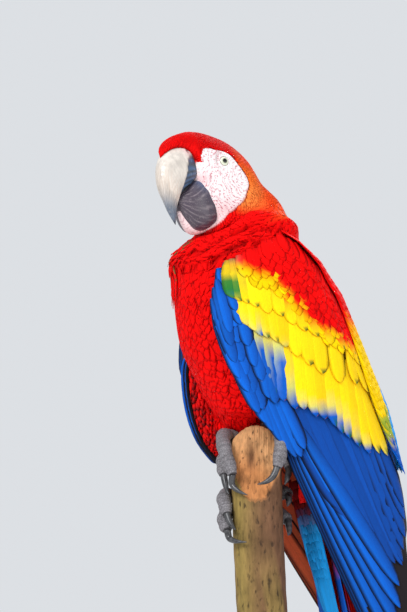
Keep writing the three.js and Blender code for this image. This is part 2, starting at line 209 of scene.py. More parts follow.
def makePiece(name, parts, material, nodes=()):
    # parts are dictionaries of points, quads, uv (per corner), tint and vane (per point)
    gather = lambda key: np.concatenate([part[key] for part in parts])
    starts = np.cumsum([0] + [len(part["points"]) for part in parts[:-1]])
    quads = np.concatenate([part["quads"] + start for part, start in zip(parts, starts)])
    mesh = bpy.data.meshes.new(name)
    points = gather("points") * mm
    mesh.vertices.add(len(points))
    mesh.vertices.foreach_set("co", points.astype(np.float32).ravel())
    mesh.loops.add(quads.size)
    mesh.loops.foreach_set("vertex_index", quads.astype(np.int32).ravel())
    mesh.polygons.add(len(quads))
    mesh.polygons.foreach_set("loop_start", 4 * np.arange(len(quads), dtype=np.int32))
    mesh.polygons.foreach_set("loop_total", np.full(len(quads), 4, np.int32))
    mesh.polygons.foreach_set("use_smooth", np.ones(len(quads), bool))
    for key, kind, field in (("tint", "FLOAT_COLOR", "color"), ("vane", "FLOAT_VECTOR", "vector")):
        if key in parts[0]:
            values = gather(key).astype(np.float32)
            values = pack(*values.T, np.float32(1)) if key == "tint" else values
            mesh.attributes.new(key, kind, "POINT").data.foreach_set(field, values.ravel())
    uv = np.concatenate([part["uv"].reshape(-1, 2) for part in parts]).astype(np.float32)
    mesh.uv_layers.new(name="OFBake").data.foreach_set("uv", uv.ravel())
    mesh.update()
    mesh.validate()
    piece = linked(name, mesh)
    mesh.materials.append(material)
    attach(piece, "root")
    if nodes:
        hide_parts(*nodes)
    print("made", name, 2 * len(quads), "triangles")


def outward(points, quads, uv):
    # the volume of the cones from the middle to each face says which way the faces look
    a, b, c, d = (points[quads[:, k]] - points.mean(0) for k in range(4))
    volume = np.sum(a * np.cross(b, c)) + np.sum(a * np.cross(c, d))
    return (quads, uv) if volume > 0 else (quads[:, ::-1], uv[:, ::-1])


def ringQuads(rows, columns):
    # quads between neighbouring rings: row, column and next column of each, and its four corners
    r, k = (index.ravel() for index in lattice(np.arange(rows - 1), np.arange(columns)))
    n = (k + 1) % columns
    return r, k, n, pack(r * columns + k, (r + 1) * columns + k, (r + 1) * columns + n, r * columns + n)


def gridPart(points, uvRect=(0.01, 0.01, 0.98, 0.98), **values):
    # rings of points (rings, columns, 3) joined into quads; uvRect is x, y, width and height
    rows, columns = points.shape[:2]
    r, k, _, quads = ringQuads(rows, columns)
    x, y = pack(k, k, k + 1, k + 1) / columns, pack(r, r + 1, r + 1, r) / (rows - 1)
    uv = pack(uvRect[0] + x * uvRect[2], uvRect[1] + y * uvRect[3])
    points = points.reshape(-1, 3)
    quads, uv = outward(points, quads, uv)
    return {"points": points, "quads": quads, "uv": uv,
            **{key: value.reshape(-1, value.shape[-1]) for key, value in values.items()}}


def shutEnds(points):
    # one more ring at each end, drawn in to the ring's middle, closes a lofted grid
    near, far = (blend(np.repeat(ring.mean(1, keepdims=True), points.shape[1], 1), ring, 0.002)
                 for ring in (points[:1], points[-1:]))
    return np.concatenate([near, points, far])


# vanes: a feather is a thin closed lens laid along a surface from its root to its tip


def vaneTemplate(columns, stations, widths):
    # ring of 2 * columns points round the vane, out along its face and back along its underside
    ring = 2 * columns
    k = np.arange(ring)
    across = np.where(k <= columns, 2 * k / columns - 1, 3 - 2 * k / columns)
    side = np.where((k > 0) & (k < columns), 1.0, np.where(k > columns, -1.0, 0.0))
    rows = len(stations)
    r, c, n, walls = ringQuads(rows, ring)
    i = np.arange(columns - 1)
    cap = pack(i, i + 1, ring - 2 - i, ring - 1 - i)
    share = np.where(k <= columns, k / columns, (ring - k) / columns)
    stations = np.asarray(stations, float)
    return {"across": across, "side": side, "stations": stations, "widths": np.asarray(widths, float),
            "quads": np.concatenate([walls, cap, cap[:, ::-1] + (rows - 1) * ring]),
            "x": np.concatenate([share[pack(c, c, n, n)], share[cap], share[cap][:, ::-1]]),
            "y": np.concatenate([stations[pack(r, r + 1, r + 1, r)], 0.0 * cap, 0.0 * cap + 1]),
            "around": np.concatenate([pack(c, c, c + 1, c + 1), cap, cap[:, ::-1]]) / ring}


smallVane = vaneTemplate(2, [0, .3, .6, .85, 1], [.45, .9, 1, .62, .06])
hairVane = vaneTemplate(2, [0, .35, .7, 1], [.5, 1, .75, .05])
bodyVane = vaneTemplate(3, [0, .25, .5, .72, .88, 1], [.5, .88, 1, .92, .62, .08])
roundVane = vaneTemplate(4, [0, .15, .35, .55, .75, .88, .96, 1], [.35, .7, .95, 1, .96, .76, .42, .06])
longVane = vaneTemplate(4, [0, .08, .2, .35, .5, .65, .78, .88, .95, .985, 1],
                        [.3, .55, .8, .92, 1, 1, .95, .82, .55, .28, .05])


def slopes(surface, place):
    # how the surface runs along p and along q at each place, and its outward normal there
    small = 0.02 * surface.step
    at = surface.point(place[:, 0], place[:, 1], 0.0)
    alongP = (surface.point(place[:, 0] + small[0], place[:, 1], 0.0) - at) / small[0]
    alongQ = (surface.point(place[:, 0], place[:, 1] + small[1], 0.0) - at) / small[1]
    return alongP, alongQ, unit(np.cross(alongP, alongQ)) * surface.outward


def solved(alongP, alongQ, wanted):
    # a and b such that a * alongP + b * alongQ comes nearest to the wanted vector
    dot = lambda x, y: np.sum(x * y, -1)
    pp, qq, pq = dot(alongP, alongP), dot(alongQ, alongQ), dot(alongP, alongQ)
    wp, wq = dot(wanted, alongP), dot(wanted, alongQ)
    det = pp * qq - pq * pq
    return pack((wp * qq - wq * pq) / det, (wq * pp - wp * pq) / det)


def stepOnSurface(surface, root, length, turn):
    # where a feather of a length ends, when it lies turn radians away from the p direction
    alongP, alongQ, normal = slopes(surface, root)
    first = unit(alongP)
    wanted = wheel(first, np.cross(normal, first), turn)
    return root + solved(alongP, alongQ, wanted * np.broadcast_to(length, len(root))[:, None])


def layVanes(surface, template, root, tip, tint, width, base, rise, thick=0.25, cup=0.0, roll=0.0,
             unwrap=None, islands=None, under=None):
    # point(s, t) = surface at root + s * (tip - root) + t * half width across it, lifted by
    # base + rise * s, by the lens thickness * (1 - t^2) / 2 and by roll * t - cup * t^2;
    # unwrap gives each feather's place in the uv square, islands a cell of a grid instead
    root, tip = np.asarray(root, float), np.asarray(tip, float)
    count = len(root)
    column = lambda value: np.broadcast_to(np.asarray(value, float), count)[:, None, None]
    s = template["stations"][:, None]
    t = template["across"]
    alongP, alongQ, normal = slopes(surface, blend(root, tip, 0.5))
    reach = tip - root
    path = alongP * reach[:, :1] + alongQ * reach[:, 1:]
    aside = solved(alongP, alongQ, np.cross(normal, unit(path)))
    length = np.linalg.norm(path, axis=-1)
    spread = t * template["widths"][:, None] * column(width) / 2
    p, q = (column(root[:, k]) + column(reach[:, k]) * s + column(aside[:, k]) * spread for k in (0, 1))
    height = (column(base) + column(rise) * s + template["side"] * (1 - t * t) * column(thick) / 2
              - column(cup) * t * t + column(roll) * t)
    points = surface.point(p, q, height)
    # a vane stretched where the surface's own lines bunch up is left out
    reachOut = np.linalg.norm(points - points[:, :1, :1], axis=-1).max((1, 2))
    kept = reachOut < 1.35 * length + width + 3
    colours = tint(p, q, np.broadcast_to(s, p.shape), np.broadcast_to(t, p.shape))
    if under is not None:
        colours = np.where((template["side"] < 0)[:, None], under, colours)
    vane = pack(spread, column(length) * s, column(rng.random(count)))
    if islands is None:
        place = unwrap(root[:, 0], root[:, 1])[:, None, None, :]
        uv = np.clip(place + 0.003 * pack(template["x"], template["y"]), 0.001, 0.999)
    else:
        columns, rows, first = islands
        cell = first + np.arange(count)
        corner = pack(cell % columns, cell // columns)[:, None, None, :]
        uv = (corner + 0.06 + 0.88 * pack(template["around"], template["y"])) / (columns, rows)
    points, uv = points[kept], uv[kept]
    quads = template["quads"] + (np.arange(len(points)) * s.size * t.size)[:, None, None]
    if outward(points[0].reshape(-1, 3), template["quads"], uv[0])[0] is not template["quads"]:
        quads, uv = quads[..., ::-1], uv[:, :, ::-1]
    return {"points": points.reshape(-1, 3), "quads": quads.reshape(-1, 4), "uv": uv,
            "tint": colours[kept].reshape(-1, 3), "vane": vane[kept].reshape(-1, 3)}


class Surface:
    # outline(p, q) gives points; point(p, q, height) moves them out along the normal, by the
    # height that lift(p, q, points, height) makes of it when there is one; step is the size of a
    # short way along p and along q
    def __init__(self, outline, outward, step, lift=None):
        self.outline, self.outward, self.step, self.lift = outline, outward, np.array(step, float), lift

    def point(self, p, q, height):
        p, q = np.broadcast_arrays(np.asarray(p, float), np.asarray(q, float))
        at = self.outline(p, q)
        e = 0.01 * self.step
        across = np.cross(self.outline(p + e[0], q) - at, self.outline(p, q + e[1]) - at)
        height = self.lift(p, q, at, height) if self.lift else height
        return at + unit(across) * self.outward * np.asarray(height)[..., None]


def varied(count, amount):
    # one brightness for each feather
    return 1 + amount * rng.standard_normal((count, 1, 1, 1))


def staggered(rows, columns, shift, jitter, narrow=lambda p: 1.0):
    # places in rows, every other row moved by shift, narrowed, and each strayed a little at random
    p, q = lattice(rows, columns)
    q = (q + np.arange(len(p))[:, None] % 2 * shift) * narrow(p)
    return pack(p.ravel(), q.ravel()) + rng.standard_normal((p.size, 2)) * jitter


def rootShade(s, dark, reach):
    # darkness at a feather's root that is gone at a share of its length
    return blend(dark, 1.0, smooth(0, reach, s))[..., None]


# body: the solids' own key sections, from the face to the root of the tail


head = {"origin": np.array([4.7, -50.9, 827.6]),
        "turn": turned("z", 28.8) @ turned("x", -3.2) @ turned("y", -6.9)}
headForward, headLeft, headTop = -head["turn"][:, 1], head["turn"][:, 0], head["turn"][:, 2]


def headPoint(forward, left, top):
    return head["origin"] + forward * headForward + left * headLeft + top * headTop


def inHead(points):  # forward, left and top of points, in the turned head
    away = points - head["origin"]
    return away @ headForward, away @ headLeft, away @ headTop


def headKey(back, belly, half, widest, square=2.15, left=0.0):
    return [*headPoint(back[0], left, back[1]), *headPoint(belly[0], left, belly[1]), *headLeft,
            half, widest, square]


def bodyKey(back, belly, half, turn=0.0):
    back, belly = ([0, *p] if len(p) == 2 else p for p in (back, belly))
    return [*back, *belly, blend(1, headLeft[0], turn), headLeft[1] * turn, headLeft[2] * turn,
            half, 0.5, 2.25]


bodyKeys = np.array([
    headKey([38, 15], [10, -60], 18, 0.3, 2.7), headKey([32, 22], [6, -61.5], 21, 0.36, 2.5),
    headKey([20, 26], [2, -63], 24.5, 0.4, 2.3), headKey([3, 26.5], [-2, -64], 27.5, 0.42),
    headKey([-16, 23.5], [-6, -66], 30, 0.43), headKey([-34, 13.5], [-10, -69], 33, 0.45),
    headKey([-49, -5], [-11, -72], 36, 0.48),
    bodyKey([-13, 15, 801], [7, -60, 758], 39, 0.55), bodyKey([-6, 25, 784], [3, -72, 750], 42, 0.25),
    bodyKey([34, 764], [-77, 742], 44.5), bodyKey([48, 742], [-74.5, 722], 48),
    bodyKey([63, 717], [-73, 697], 50), bodyKey([70, 690], [-67.5, 668], 50.5),
    bodyKey([75, 662], [-54, 640], 48.5), bodyKey([79, 635], [-42, 619], 44.5),
    bodyKey([81, 611], [-27, 606.5], 38), bodyKey([82, 588], [24, 610], 34),
    bodyKey([81, 566], [35, 586], 31), bodyKey([78.5, 545.5], [42, 538], 28)])
bodyEnd = len(bodyKeys) - 1.0


def section(keys, u, angle):
    # middle of the section + its half height * |cos|^power + its half width * |sin|^power
    k = keyed(keys, u)
    back, belly, side = k[..., 0:3], k[..., 3:6], unit(k[..., 6:9])
    half, widest, power = k[..., 9:10], k[..., 10:11], 2 / k[..., 11:12]
    c, s = np.cos(angle)[..., None], np.sin(angle)[..., None]
    middle = blend(back, belly, widest)
    end = np.where(c > 0, back, belly)
    return (middle + (end - middle) * np.abs(c) ** power
            + side * np.sign(s) * np.abs(s) ** power * half)


# folds of the turned neck: ridges and creases as height over the plain outline, strongest left
neckFolds = {"ridges": [([-64, 757], [-56, 764], [-42, 773], [-20, 779], [10, 779], [28, 774], [40, 768]),
                        ([-62, 740], [-42, 755], [-20, 763], [10, 757], [40, 744])],
             "creases": [([-66, 745], [-47, 758], [-38, 763], [-26, 768], [-10, 768], [10, 766], [40, 755]),
                         ([-60, 734], [-42, 748], [-25, 756], [-13, 754], [1, 749], [14, 743], [40, 733])],
             "high": (5.4, 3.4), "deep": 3.0, "broad": 7.5, "steep": 5.5, "narrow": 2.0}


def creaseShare(points):  # 1 in the bottom of a crease, 0 away from it
    y, z = points[..., 1], points[..., 2]
    amount = np.maximum(*(bell(z - graph(line, y), neckFolds["narrow"]) for line in neckFolds["creases"]))
    return amount * blend(0.2, 1.0, smooth(-20, 15, points[..., 0])) * smooth(708, 728, z)


def foldHeight(points):
    x, y, z = points[..., 0], points[..., 1], points[..., 2]
    amount = 0
    for line, high in zip(neckFolds["ridges"], neckFolds["high"]):
        away = z - graph(line, y)
        amount = amount + high * bell(away, np.where(away > 0, neckFolds["steep"], neckFolds["broad"]))
    leftness = blend(0.25, 1.0, smooth(-20, 15, x)) * smooth(714, 732, z) * fade(788, 799, z)
    return amount * leftness - neckFolds["deep"] * creaseShare(points)


def browRounding(u, points):  # the coat bends down to the beak over its first few millimetres
    return -3.2 * np.clip(1 - u / 0.5, 0, 1) ** 2 * smooth(6.0, -4.0, bareness(points))


def bodyOutline(u, angle):
    return section(bodyKeys, u, angle)


bodySurface = Surface(bodyOutline, -1.0, (1.0, 0.3))


def bodyUnwrap(u, angle):
    return pack(0.01 + 0.97 * u / bodyEnd, 0.01 + 0.97 * (angle % (2 * np.pi)) / (2 * np.pi))


# bare face: outline of the patch as radius for each direction from its middle, in head space
facePatch = {"middle": (4, -22),
             "rim": [(0, 70), (14, 60), (24, 31), (33, 30), (48, 35), (57, 35), (72, 30.5), (94, 29),
                     (112, 27.5), (127, 25), (144, 24), (161, 25), (176, 25), (194, 22.5), (213, 23),
                     (233, 23.5), (254, 26.5), (267, 32), (275, 37), (287, 48), (300, 60), (360, 70)]}


def bareness(points):  # how far a point lies inside the bare patch, in millimetres
    forward, _, top = inHead(points)
    x, y = forward - facePatch["middle"][0], top - facePatch["middle"][1]
    angle = np.degrees(np.arctan2(y, x)) % 360
    return graph(facePatch["rim"], angle) - np.hypot(x, y)


def coatDepth(u, points):
    thick = graph([(0, 1.4), (3, 1.6), (5, 2.0), (7, 2.8), (9, 3.2), (14, 3.4), (18, 3)], u)
    return blend(thick, 0.2, smooth(-1.5, 1.5, bareness(points)))


eye = {"forward": 1.3, "left": 20.7, "top": -2.4, "radius": 6.2, "pupil": 1.95, "opening": 4.35}


def eyeCentre(sign):
    return headPoint(eye["forward"], sign * eye["left"], eye["top"])


def eyeAxis(sign):  # gaze direction
    return unit(headForward * 0.42 + sign * headLeft + headTop * 0.03)


def eyeSocket(points):
    # near each eye the skin sinks behind the ball, rises into a lid rim and runs out flat
    edge = eye["opening"]
    rim = math.sqrt(eye["radius"] ** 2 - edge ** 2)
    lid = [(0, 1.5), (edge - 0.35, 2.2), (edge - 0.1, rim + 0.15), (edge + 0.25, rim + 0.62),
           (edge + 0.9, rim + 0.5), (edge + 1.5, rim + 0.12), (7, rim + 0.1), (20, rim)]
    for sign in (1, -1):
        centre, axis = eyeCentre(sign), eyeAxis(sign)
        out = (points - centre) @ axis
        radius = np.linalg.norm(points - centre - out[..., None] * axis, axis=-1)
        rings = 0.10 * np.cos(radius * 2 * np.pi / 1.15) * smooth(5, 5.8, radius)
        target = graph(lid, radius) + rings * fade(8, 10.5, radius)
        weight = fade(5.6, 11.5, radius) * (out > 0)
        points = points + (axis * ((target - out) * weight)[..., None])
    return points


def skinPoint(u, angle):
    at = bodyOutline(u, angle)
    relief = foldHeight(at) + browRounding(u, at)
    return eyeSocket(bodySurface.point(u, angle, relief - coatDepth(u, at)))


coatSurface = Surface(bodyOutline, -1.0, (1.0, 0.3), lambda u, angle, at, height: height
                      + foldHeight(at) + browRounding(u, at))


# plumage colours, linear
hue = {"red": (0.80, 0.002, 0.002), "deepRed": (0.34, 0.001, 0.001), "orange": (0.92, 0.16, 0.02),
       "crown": (0.72, 0.002, 0.002), "yellow": (0.93, 0.60, 0.001), "gold": (0.95, 0.30, 0.001),
       "blue": (0.001, 0.085, 0.46), "deepBlue": (0.001, 0.03, 0.20), "sky": (0.01, 0.34, 0.85),
       "green": (0.015, 0.19, 0.03), "pale": (0.44, 0.52, 0.17), "grey": (0.20, 0.17, 0.13),
       "black": (0.006, 0.006, 0.008), "face": (0.86, 0.77, 0.77),
       "pink": (0.78, 0.36, 0.38), "lining": (0.95, 0.16, 0.06), "azure": (0.001, 0.13, 0.62),
       "peach": (0.97, 0.27, 0.06), "moss": (0.52, 0.58, 0.20)}
hue = {name: np.array(value) for name, value in hue.items()}


def bodyTint(points, u, angle):
    forward, left, top = inHead(points)
    back = np.cos(angle)
    tint = dye(hue["red"], hue["crown"], smooth(6, 14, top) * (u < 7))
    # orange streaked patch behind the bare cheek, running out to red down the side of the neck
    orange = fade(5, 25, -bareness(points)) * smooth(-6, -15, forward) * (top < 14)
    orange = orange * smooth(-50, -36, top) * blend(0.3, 1.0, smooth(4, 18, np.abs(left)))
    orange = orange * blend(0.4, 1.0, smooth(2, -13, top))
    nape = 0.45 * bell(forward + 48, 16) * smooth(-0.2, 0.6, back) * (u < 8)
    tint = dye(tint, hue["orange"], np.clip(orange + nape, 0, 1))
    tint = dye(tint, hue["peach"], 0.7 * orange * smooth(-14, -28, top))
    # light blue rump and root of the tail
    tint = dye(tint, hue["sky"], smooth(13.2, 14.4, u) * smooth(-0.15, 0.25, back))
    # painted shade: coat and skin are darkened by up to 70% in the bottoms of the neck's creases
    return tint * (1 - 0.7 * creaseShare(points))[..., None]


# skin: one closed surface, finest round the eyes

faceRow = 2.9  # millimetres between two rows of tiny feathers


def faceLines(points):
    # rows of tiny feathers: level lines of a field that runs down the lores and swirls on the cheek
    forward, _, top = inHead(points)
    swirl = np.hypot((forward + 16) * 1.1, top + 14)
    lores = forward * 0.92 + 0.18 * top + 12
    share = smooth(3, 14, forward + 0.25 * (top + 10))
    return (blend(swirl, 46 - lores, share) + 1.1 * np.sin(top * 0.42 + 0.1 * forward)
            + 0.8 * np.sin(forward * 0.5 - 0.2 * top))


def skinPart():
    rows = np.concatenate([np.arange(0, 2.0, 0.06), np.arange(2.0, 3.9, 0.024), np.arange(3.9, 7, 0.08),
                           np.arange(7, bodyEnd, 0.2), [bodyEnd]])
    degrees = np.concatenate([np.arange(0, 52, 3), np.arange(52, 104, 0.85), np.arange(104, 256, 3),
                              np.arange(256, 308, 0.85), np.arange(308, 360, 3)])
    u, angle = lattice(rows, np.radians(degrees))
    at = bodyOutline(u, angle)
    forward, _, top = inHead(at)
    bare = smooth(-0.8, 0.8, bareness(at))
    jaw = 0.35 * smooth(-30, -48, top) + 0.5 * bell(np.hypot(forward - 23, top + 21), 6)
    tint = dye(bodyTint(at, u, angle) * 0.9, hue["face"], bare)
    tint = dye(tint, hue["pink"], np.clip(jaw, 0, 1) * bare)
    vane = ended(pack(bare, faceLines(at), 0.0))
    return gridPart(shutEnds(skinPoint(u, angle)), tint=ended(tint), vane=vane)


def tubeFrames(stops, radii, rows):
    # centre, two cross directions and radius at equal steps along a smooth path
    centre = keyed(stops, np.linspace(0, len(stops) - 1, rows))
    ahead = unit(np.gradient(centre, axis=0))
    across, up = np.empty_like(centre), np.empty_like(centre)
    last = np.array([0.31, 0.17, 0.94])
    for r in range(rows):
        across[r] = unit(np.cross(last, ahead[r]))
        last = up[r] = np.cross(ahead[r], across[r])
    return centre, across, up, keyed(radii, np.linspace(0, len(radii) - 1, rows))


def tubePart(stops, radii, rows, columns, uvRect, shape=None, tint=None):
    # ring of radius r * shape(share along) round the path
    centre, across, up, radius = (values[:, None] for values in tubeFrames(stops, radii, rows))
    share, angle = lattice(np.linspace(0, 1, rows), circle(columns))
    radius = radius * shape(share) if shape else radius
    points = shutEnds(centre + wheel(across, up, angle) * radius[..., None])
    extra = {}
    if tint:
        extra["tint"] = ended(tint(share))
        extra["vane"] = 0 * extra["tint"]
    return gridPart(points, uvRect=uvRect, **extra)


def tubeSurface(stops, radii):
    frames = tubeFrames(stops, radii, 60)
    share = np.linspace(0, 1, 60)

    def outline(p, angle):
        centre, across, up, radius = (
            pack(*(np.interp(p, share, column) for column in values.reshape(60, -1).T)) for values in frames)
        return centre + radius * wheel(unit(across), unit(up), angle)
    return Surface(outline, -1.0, (0.1, 0.3))


thighs = {"left": {"stops": [[26, 8, 642], [27, 16, 624], [22, 23, 611], [16, 26, 603]],
                   "radii": [16, 16, 12, 7]},
          "right": {"stops": [[-29, -14, 638], [-34, -12, 614], [-34, -7, 594], [-28, 5, 578]],
                    "radii": [16, 15.5, 13, 8]}}


# materials for the plumage and the skin


def featherPaint(name, barb, shine, quill):
    paint = Paint(name, Roughness=0.72, Specular_IOR_Level=shine)
    vane = paint.attribute("vane", "Vector")
    x, y, pick = (paint.split(vane, axis) for axis in "XYZ")
    along = y - abs(x) * 0.9
    streaks = paint.noise(paint.join(along * barb, x * 0.25, pick * 40), 1.0, 2.0)
    fine = paint.noise(paint.join(x * 2.4, y * 0.12, pick * 90), 1.0, 2.0)
    shade = paint.between(streaks * 0.5 + fine * 0.5, 0.3, 0.7, 0.86, 1.1)
    shaft = (abs(x) < 0.3) * paint.between(y, 0.0, 14.0, quill, quill * 0.25)
    colour = paint.shaded(paint.attribute("tint"), shade)
    paint.feed("Base Color", paint.mix(shaft, colour, (0.02, 0.01, 0.01)))
    paint.bump(streaks * 0.6 + fine * 0.4, 0.3, 0.3)
    return paint.material


plumagePaint = featherPaint("plumage", 1.6, 0.05, 0.1)
flightPaint = featherPaint("flight_plumage", 1.1, 0.14, 0.35)


def skinPaint():
    paint = Paint("bare_skin", Roughness=0.55, Specular_IOR_Level=0.3)
    place = paint.place()
    tint = paint.attribute("tint")
    field = paint.attribute("vane", "Vector")
    bare = paint.split(field, "X")
    sway = paint.noise(place, 240.0, 2.0)
    rows = (paint.split(field, "Y") + sway * 1.8) * (1 / faceRow)
    wave = paint.node("ShaderNodeMath", {"operation": "FRACT"}, {0: rows})
    line = abs(wave - 0.5) * 2
    thin = paint.between(line, 0.12, 0.42, 1.0, 0.0)
    broken = paint.between(paint.noise(place, 520.0, 2.0), 0.40, 0.56)
    mottle = paint.noise(place, 160.0, 3.0)
    lines = thin * broken * bare
    skin = paint.mix(paint.between(mottle, 0.45, 0.75, 0.0, 0.14) * bare, tint, tuple(hue["pink"]))
    paint.feed("Base Color", paint.mix(lines * 0.5, skin, (0.46, 0.20, 0.25)))
    pebble = paint.noise(place, 900.0, 2.0)
    paint.bump(pebble * 0.35 + mottle * 0.6 + lines * 0.6, 0.55, 0.5)
    return paint.material


def beakKey(top, low, half, widest=0.62, left=0.0, square=2.3):
    return headKey(top, low, half, widest, square, left)


chinKeys = np.array([
    beakKey([6, -50], [5, -62], 9, 0.5, -1), beakKey([16, -53], [19, -65.5], 7.5, 0.5, -1),
    beakKey([24, -52], [28, -62.8], 5.4, 0.5, -1), beakKey([31, -47], [34.6, -56], 3.6, 0.5, -1),
    beakKey([36, -44], [38.6, -50.5], 1.6, 0.5, -0.5)])


def chinPart():
    # soft pad of bare skin under the lower jaw
    points = shutEnds(section(chinKeys, *lattice(np.linspace(0, 4, 40), circle(40))))
    tint = np.broadcast_to(blend(hue["face"], hue["pink"], 0.35), points.shape)
    return gridPart(points, tint=tint, vane=pack(1.0, faceLines(points), 0.0), uvRect=(0.985, 0.7, 0.01, 0.2))


upperKeys = np.array([
    beakKey([35, 12], [24, -22], 14.8), beakKey([45.5, 9.5], [30, -26.5], 14.4),
    beakKey([55.5, 1], [36, -31], 13), beakKey([61.5, -12], [40, -36], 11, 0.6),
    beakKey([62, -27], [42, -41], 8.4, 0.58), beakKey([57.5, -40], [42.5, -46], 5.6, 0.55),
    beakKey([51.5, -52.5], [42.6, -53.5], 3, 0.5), beakKey([44.2, -62], [42.9, -61.4], 0.5, 0.5)])
lowerKeys = np.array([
    beakKey([19.5, -17.5], [5.5, -58], 18.6, 0.5, square=3.8),
    beakKey([27, -21], [14, -63], 18, 0.46, square=3.2),
    beakKey([33.6, -28], [24, -63.4], 13.8, 0.4, square=2.4),
    beakKey([39, -33.5], [33, -55.6], 8.2, 0.36), beakKey([41.5, -38.5], [40, -45], 3.4, 0.4)])
mouthKeys = np.array([
    beakKey([26, -18], [22, -30], 8.5, 0.5), beakKey([31, -22], [28, -35], 7.5, 0.5),
    beakKey([37, -28], [34, -40], 5.0, 0.5), beakKey([42, -34.5], [39.5, -41], 1.6, 0.5)])


# forehead: a pad of short feathers that bulges over the root of the culmen
brow = {"edge": [(0, 2.5), (0.3, 2.0), (0.5, 1.42), (0.7, 0.8), (0.9, 0.42), (1.15, 0.15), (1.4, 0.02)],
        "reach": 1.4, "crown": 1.9, "ahead": (4.5, -1.0), "out": (4.8, 11.0)}


def browOutline(share, side):
    # cubic curve from the crown (share 0) forward and down to the pad's edge on the beak (share 1);
    # its two inner handles stand ahead of and above the skull, less so towards the sides
    side = np.asarray(side, float)
    swell = blend(0.14, 1.0, bell(side, 0.72))[..., None]
    above = wheel(headTop, headLeft, side)
    first = bodyOutline(brow["crown"] - 0.9 * np.abs(side), side)
    last = section(upperKeys, graph(brow["edge"], np.abs(side)), side)
    near, far = (base + swell * (ahead * headForward + out * above) for base, ahead, out in zip(
        (bodyOutline(0.5 + 0 * side, side), last), brow["ahead"], brow["out"]))
    t = np.asarray(share, float)[..., None]
    return (1 - t) ** 3 * first + 3 * t * (1 - t) ** 2 * near + 3 * t ** 2 * (1 - t) * far + t ** 3 * last


browSurface = Surface(browOutline, 1.0, (0.2, 0.2))


def plain(colour, like):  # one colour for every point of a grid
    return np.broadcast_to(colour, (*like.shape, 3))


def browPart():
    share, side = lattice(np.linspace(0, 1, 24), np.linspace(-brow["reach"], brow["reach"], 40))
    outer = browSurface.point(share, side, -0.9)
    inner = blend(outer, headPoint(25, 0, -4), 0.25)
    points = shutEnds(np.concatenate([outer, inner[:, ::-1]], 1))
    tint = plain(hue["deepRed"], points[..., 0])
    return gridPart(points, tint=tint, vane=0 * tint, uvRect=(0.985, 0.6, 0.01, 0.08))


skinParts = [skinPart(), chinPart(), browPart()]
for index, thigh in enumerate(thighs.values()):
    bulk = [r - 2.5 for r in thigh["radii"]]
    skinParts.append(tubePart(thigh["stops"], bulk, 20, 24, (0.985, 0.02 + 0.3 * index, 0.01, 0.25),
                              tint=lambda share: plain(hue["deepRed"], share)))
makePiece("bird_skin", skinParts, skinPaint(), ["head", "neck", "trunk", "thigh_left", "thigh_right"])


# contour feathers in staggered rows round the body

coats = {
    "head_feathers": {"from": 0.05, "to": 6.6, "row": 1.8, "across": 1.6, "template": hairVane,
                      "length": [(0, 4.5), (2, 6), (5, 9), (6.6, 12)],
                      "width": [(0, 2.2), (3, 2.8), (6.6, 4.2)], "stray": 6},
    "neck_feathers": {"from": 6.5, "to": 9.9, "row": 3.9, "across": 3.4, "template": bodyVane,
                      "length": [(6.5, 15), (8, 21), (9.9, 26)],
                      "width": [(6.5, 5.6), (9.9, 10.5)], "stray": 5},
    "breast_feathers": {"from": 9.7, "to": 17.9, "row": 6.4, "across": 5.0, "template": bodyVane,
                        "length": [(9.7, 27), (14, 32), (17.9, 32)],
                        "width": [(9.7, 10.5), (14, 15), (17.9, 15)], "stray": 4},
}


def bodyRoots(spec):
    # rows of places at equal arc spacing, each row shifted by half a place from the last
    fine = np.radians(np.arange(0, 360, 2.0))
    u, roots, shift = spec["from"], [], 0.0
    while u < spec["to"]:
        ring = bodyOutline(np.full_like(fine, u), fine)
        step = np.linalg.norm(np.roll(ring, -1, 0) - ring, axis=-1)
        arc = np.concatenate([[0], np.cumsum(step)])
        count = int(arc[-1] / spec["across"])
        places = (np.arange(count) + shift % 1 + 0.35 * (rng.random(count) - 0.5)) / count * arc[-1]
        angle = np.interp(places % arc[-1], arc, np.append(fine, 2 * np.pi))
        ahead = np.linalg.norm(bodyOutline(np.full_like(fine, u + 0.05), fine) - ring, axis=-1) / 0.05
        local = np.interp(angle, fine, ahead)
        keep = rng.random(count) < local / ahead.max() * 1.15
        jitter = (rng.random(count) - 0.5) * 0.7 * spec["row"] / local
        roots.append(pack(np.full(count, u) + jitter, angle)[keep])
        u += spec["row"] / ahead.max()
        shift += 0.5
    return np.concatenate(roots)


def flowAngle(points, angle):
    # the lie of the coat, turned from straight back: round the collar towards the throat on the left
    degrees, z = np.degrees(angle), points[..., 2]
    collar = smooth(730, 744, z) * fade(788, 804, z)
    return -math.radians(62) * collar * smooth(35, 80, degrees) * fade(150, 215, degrees)


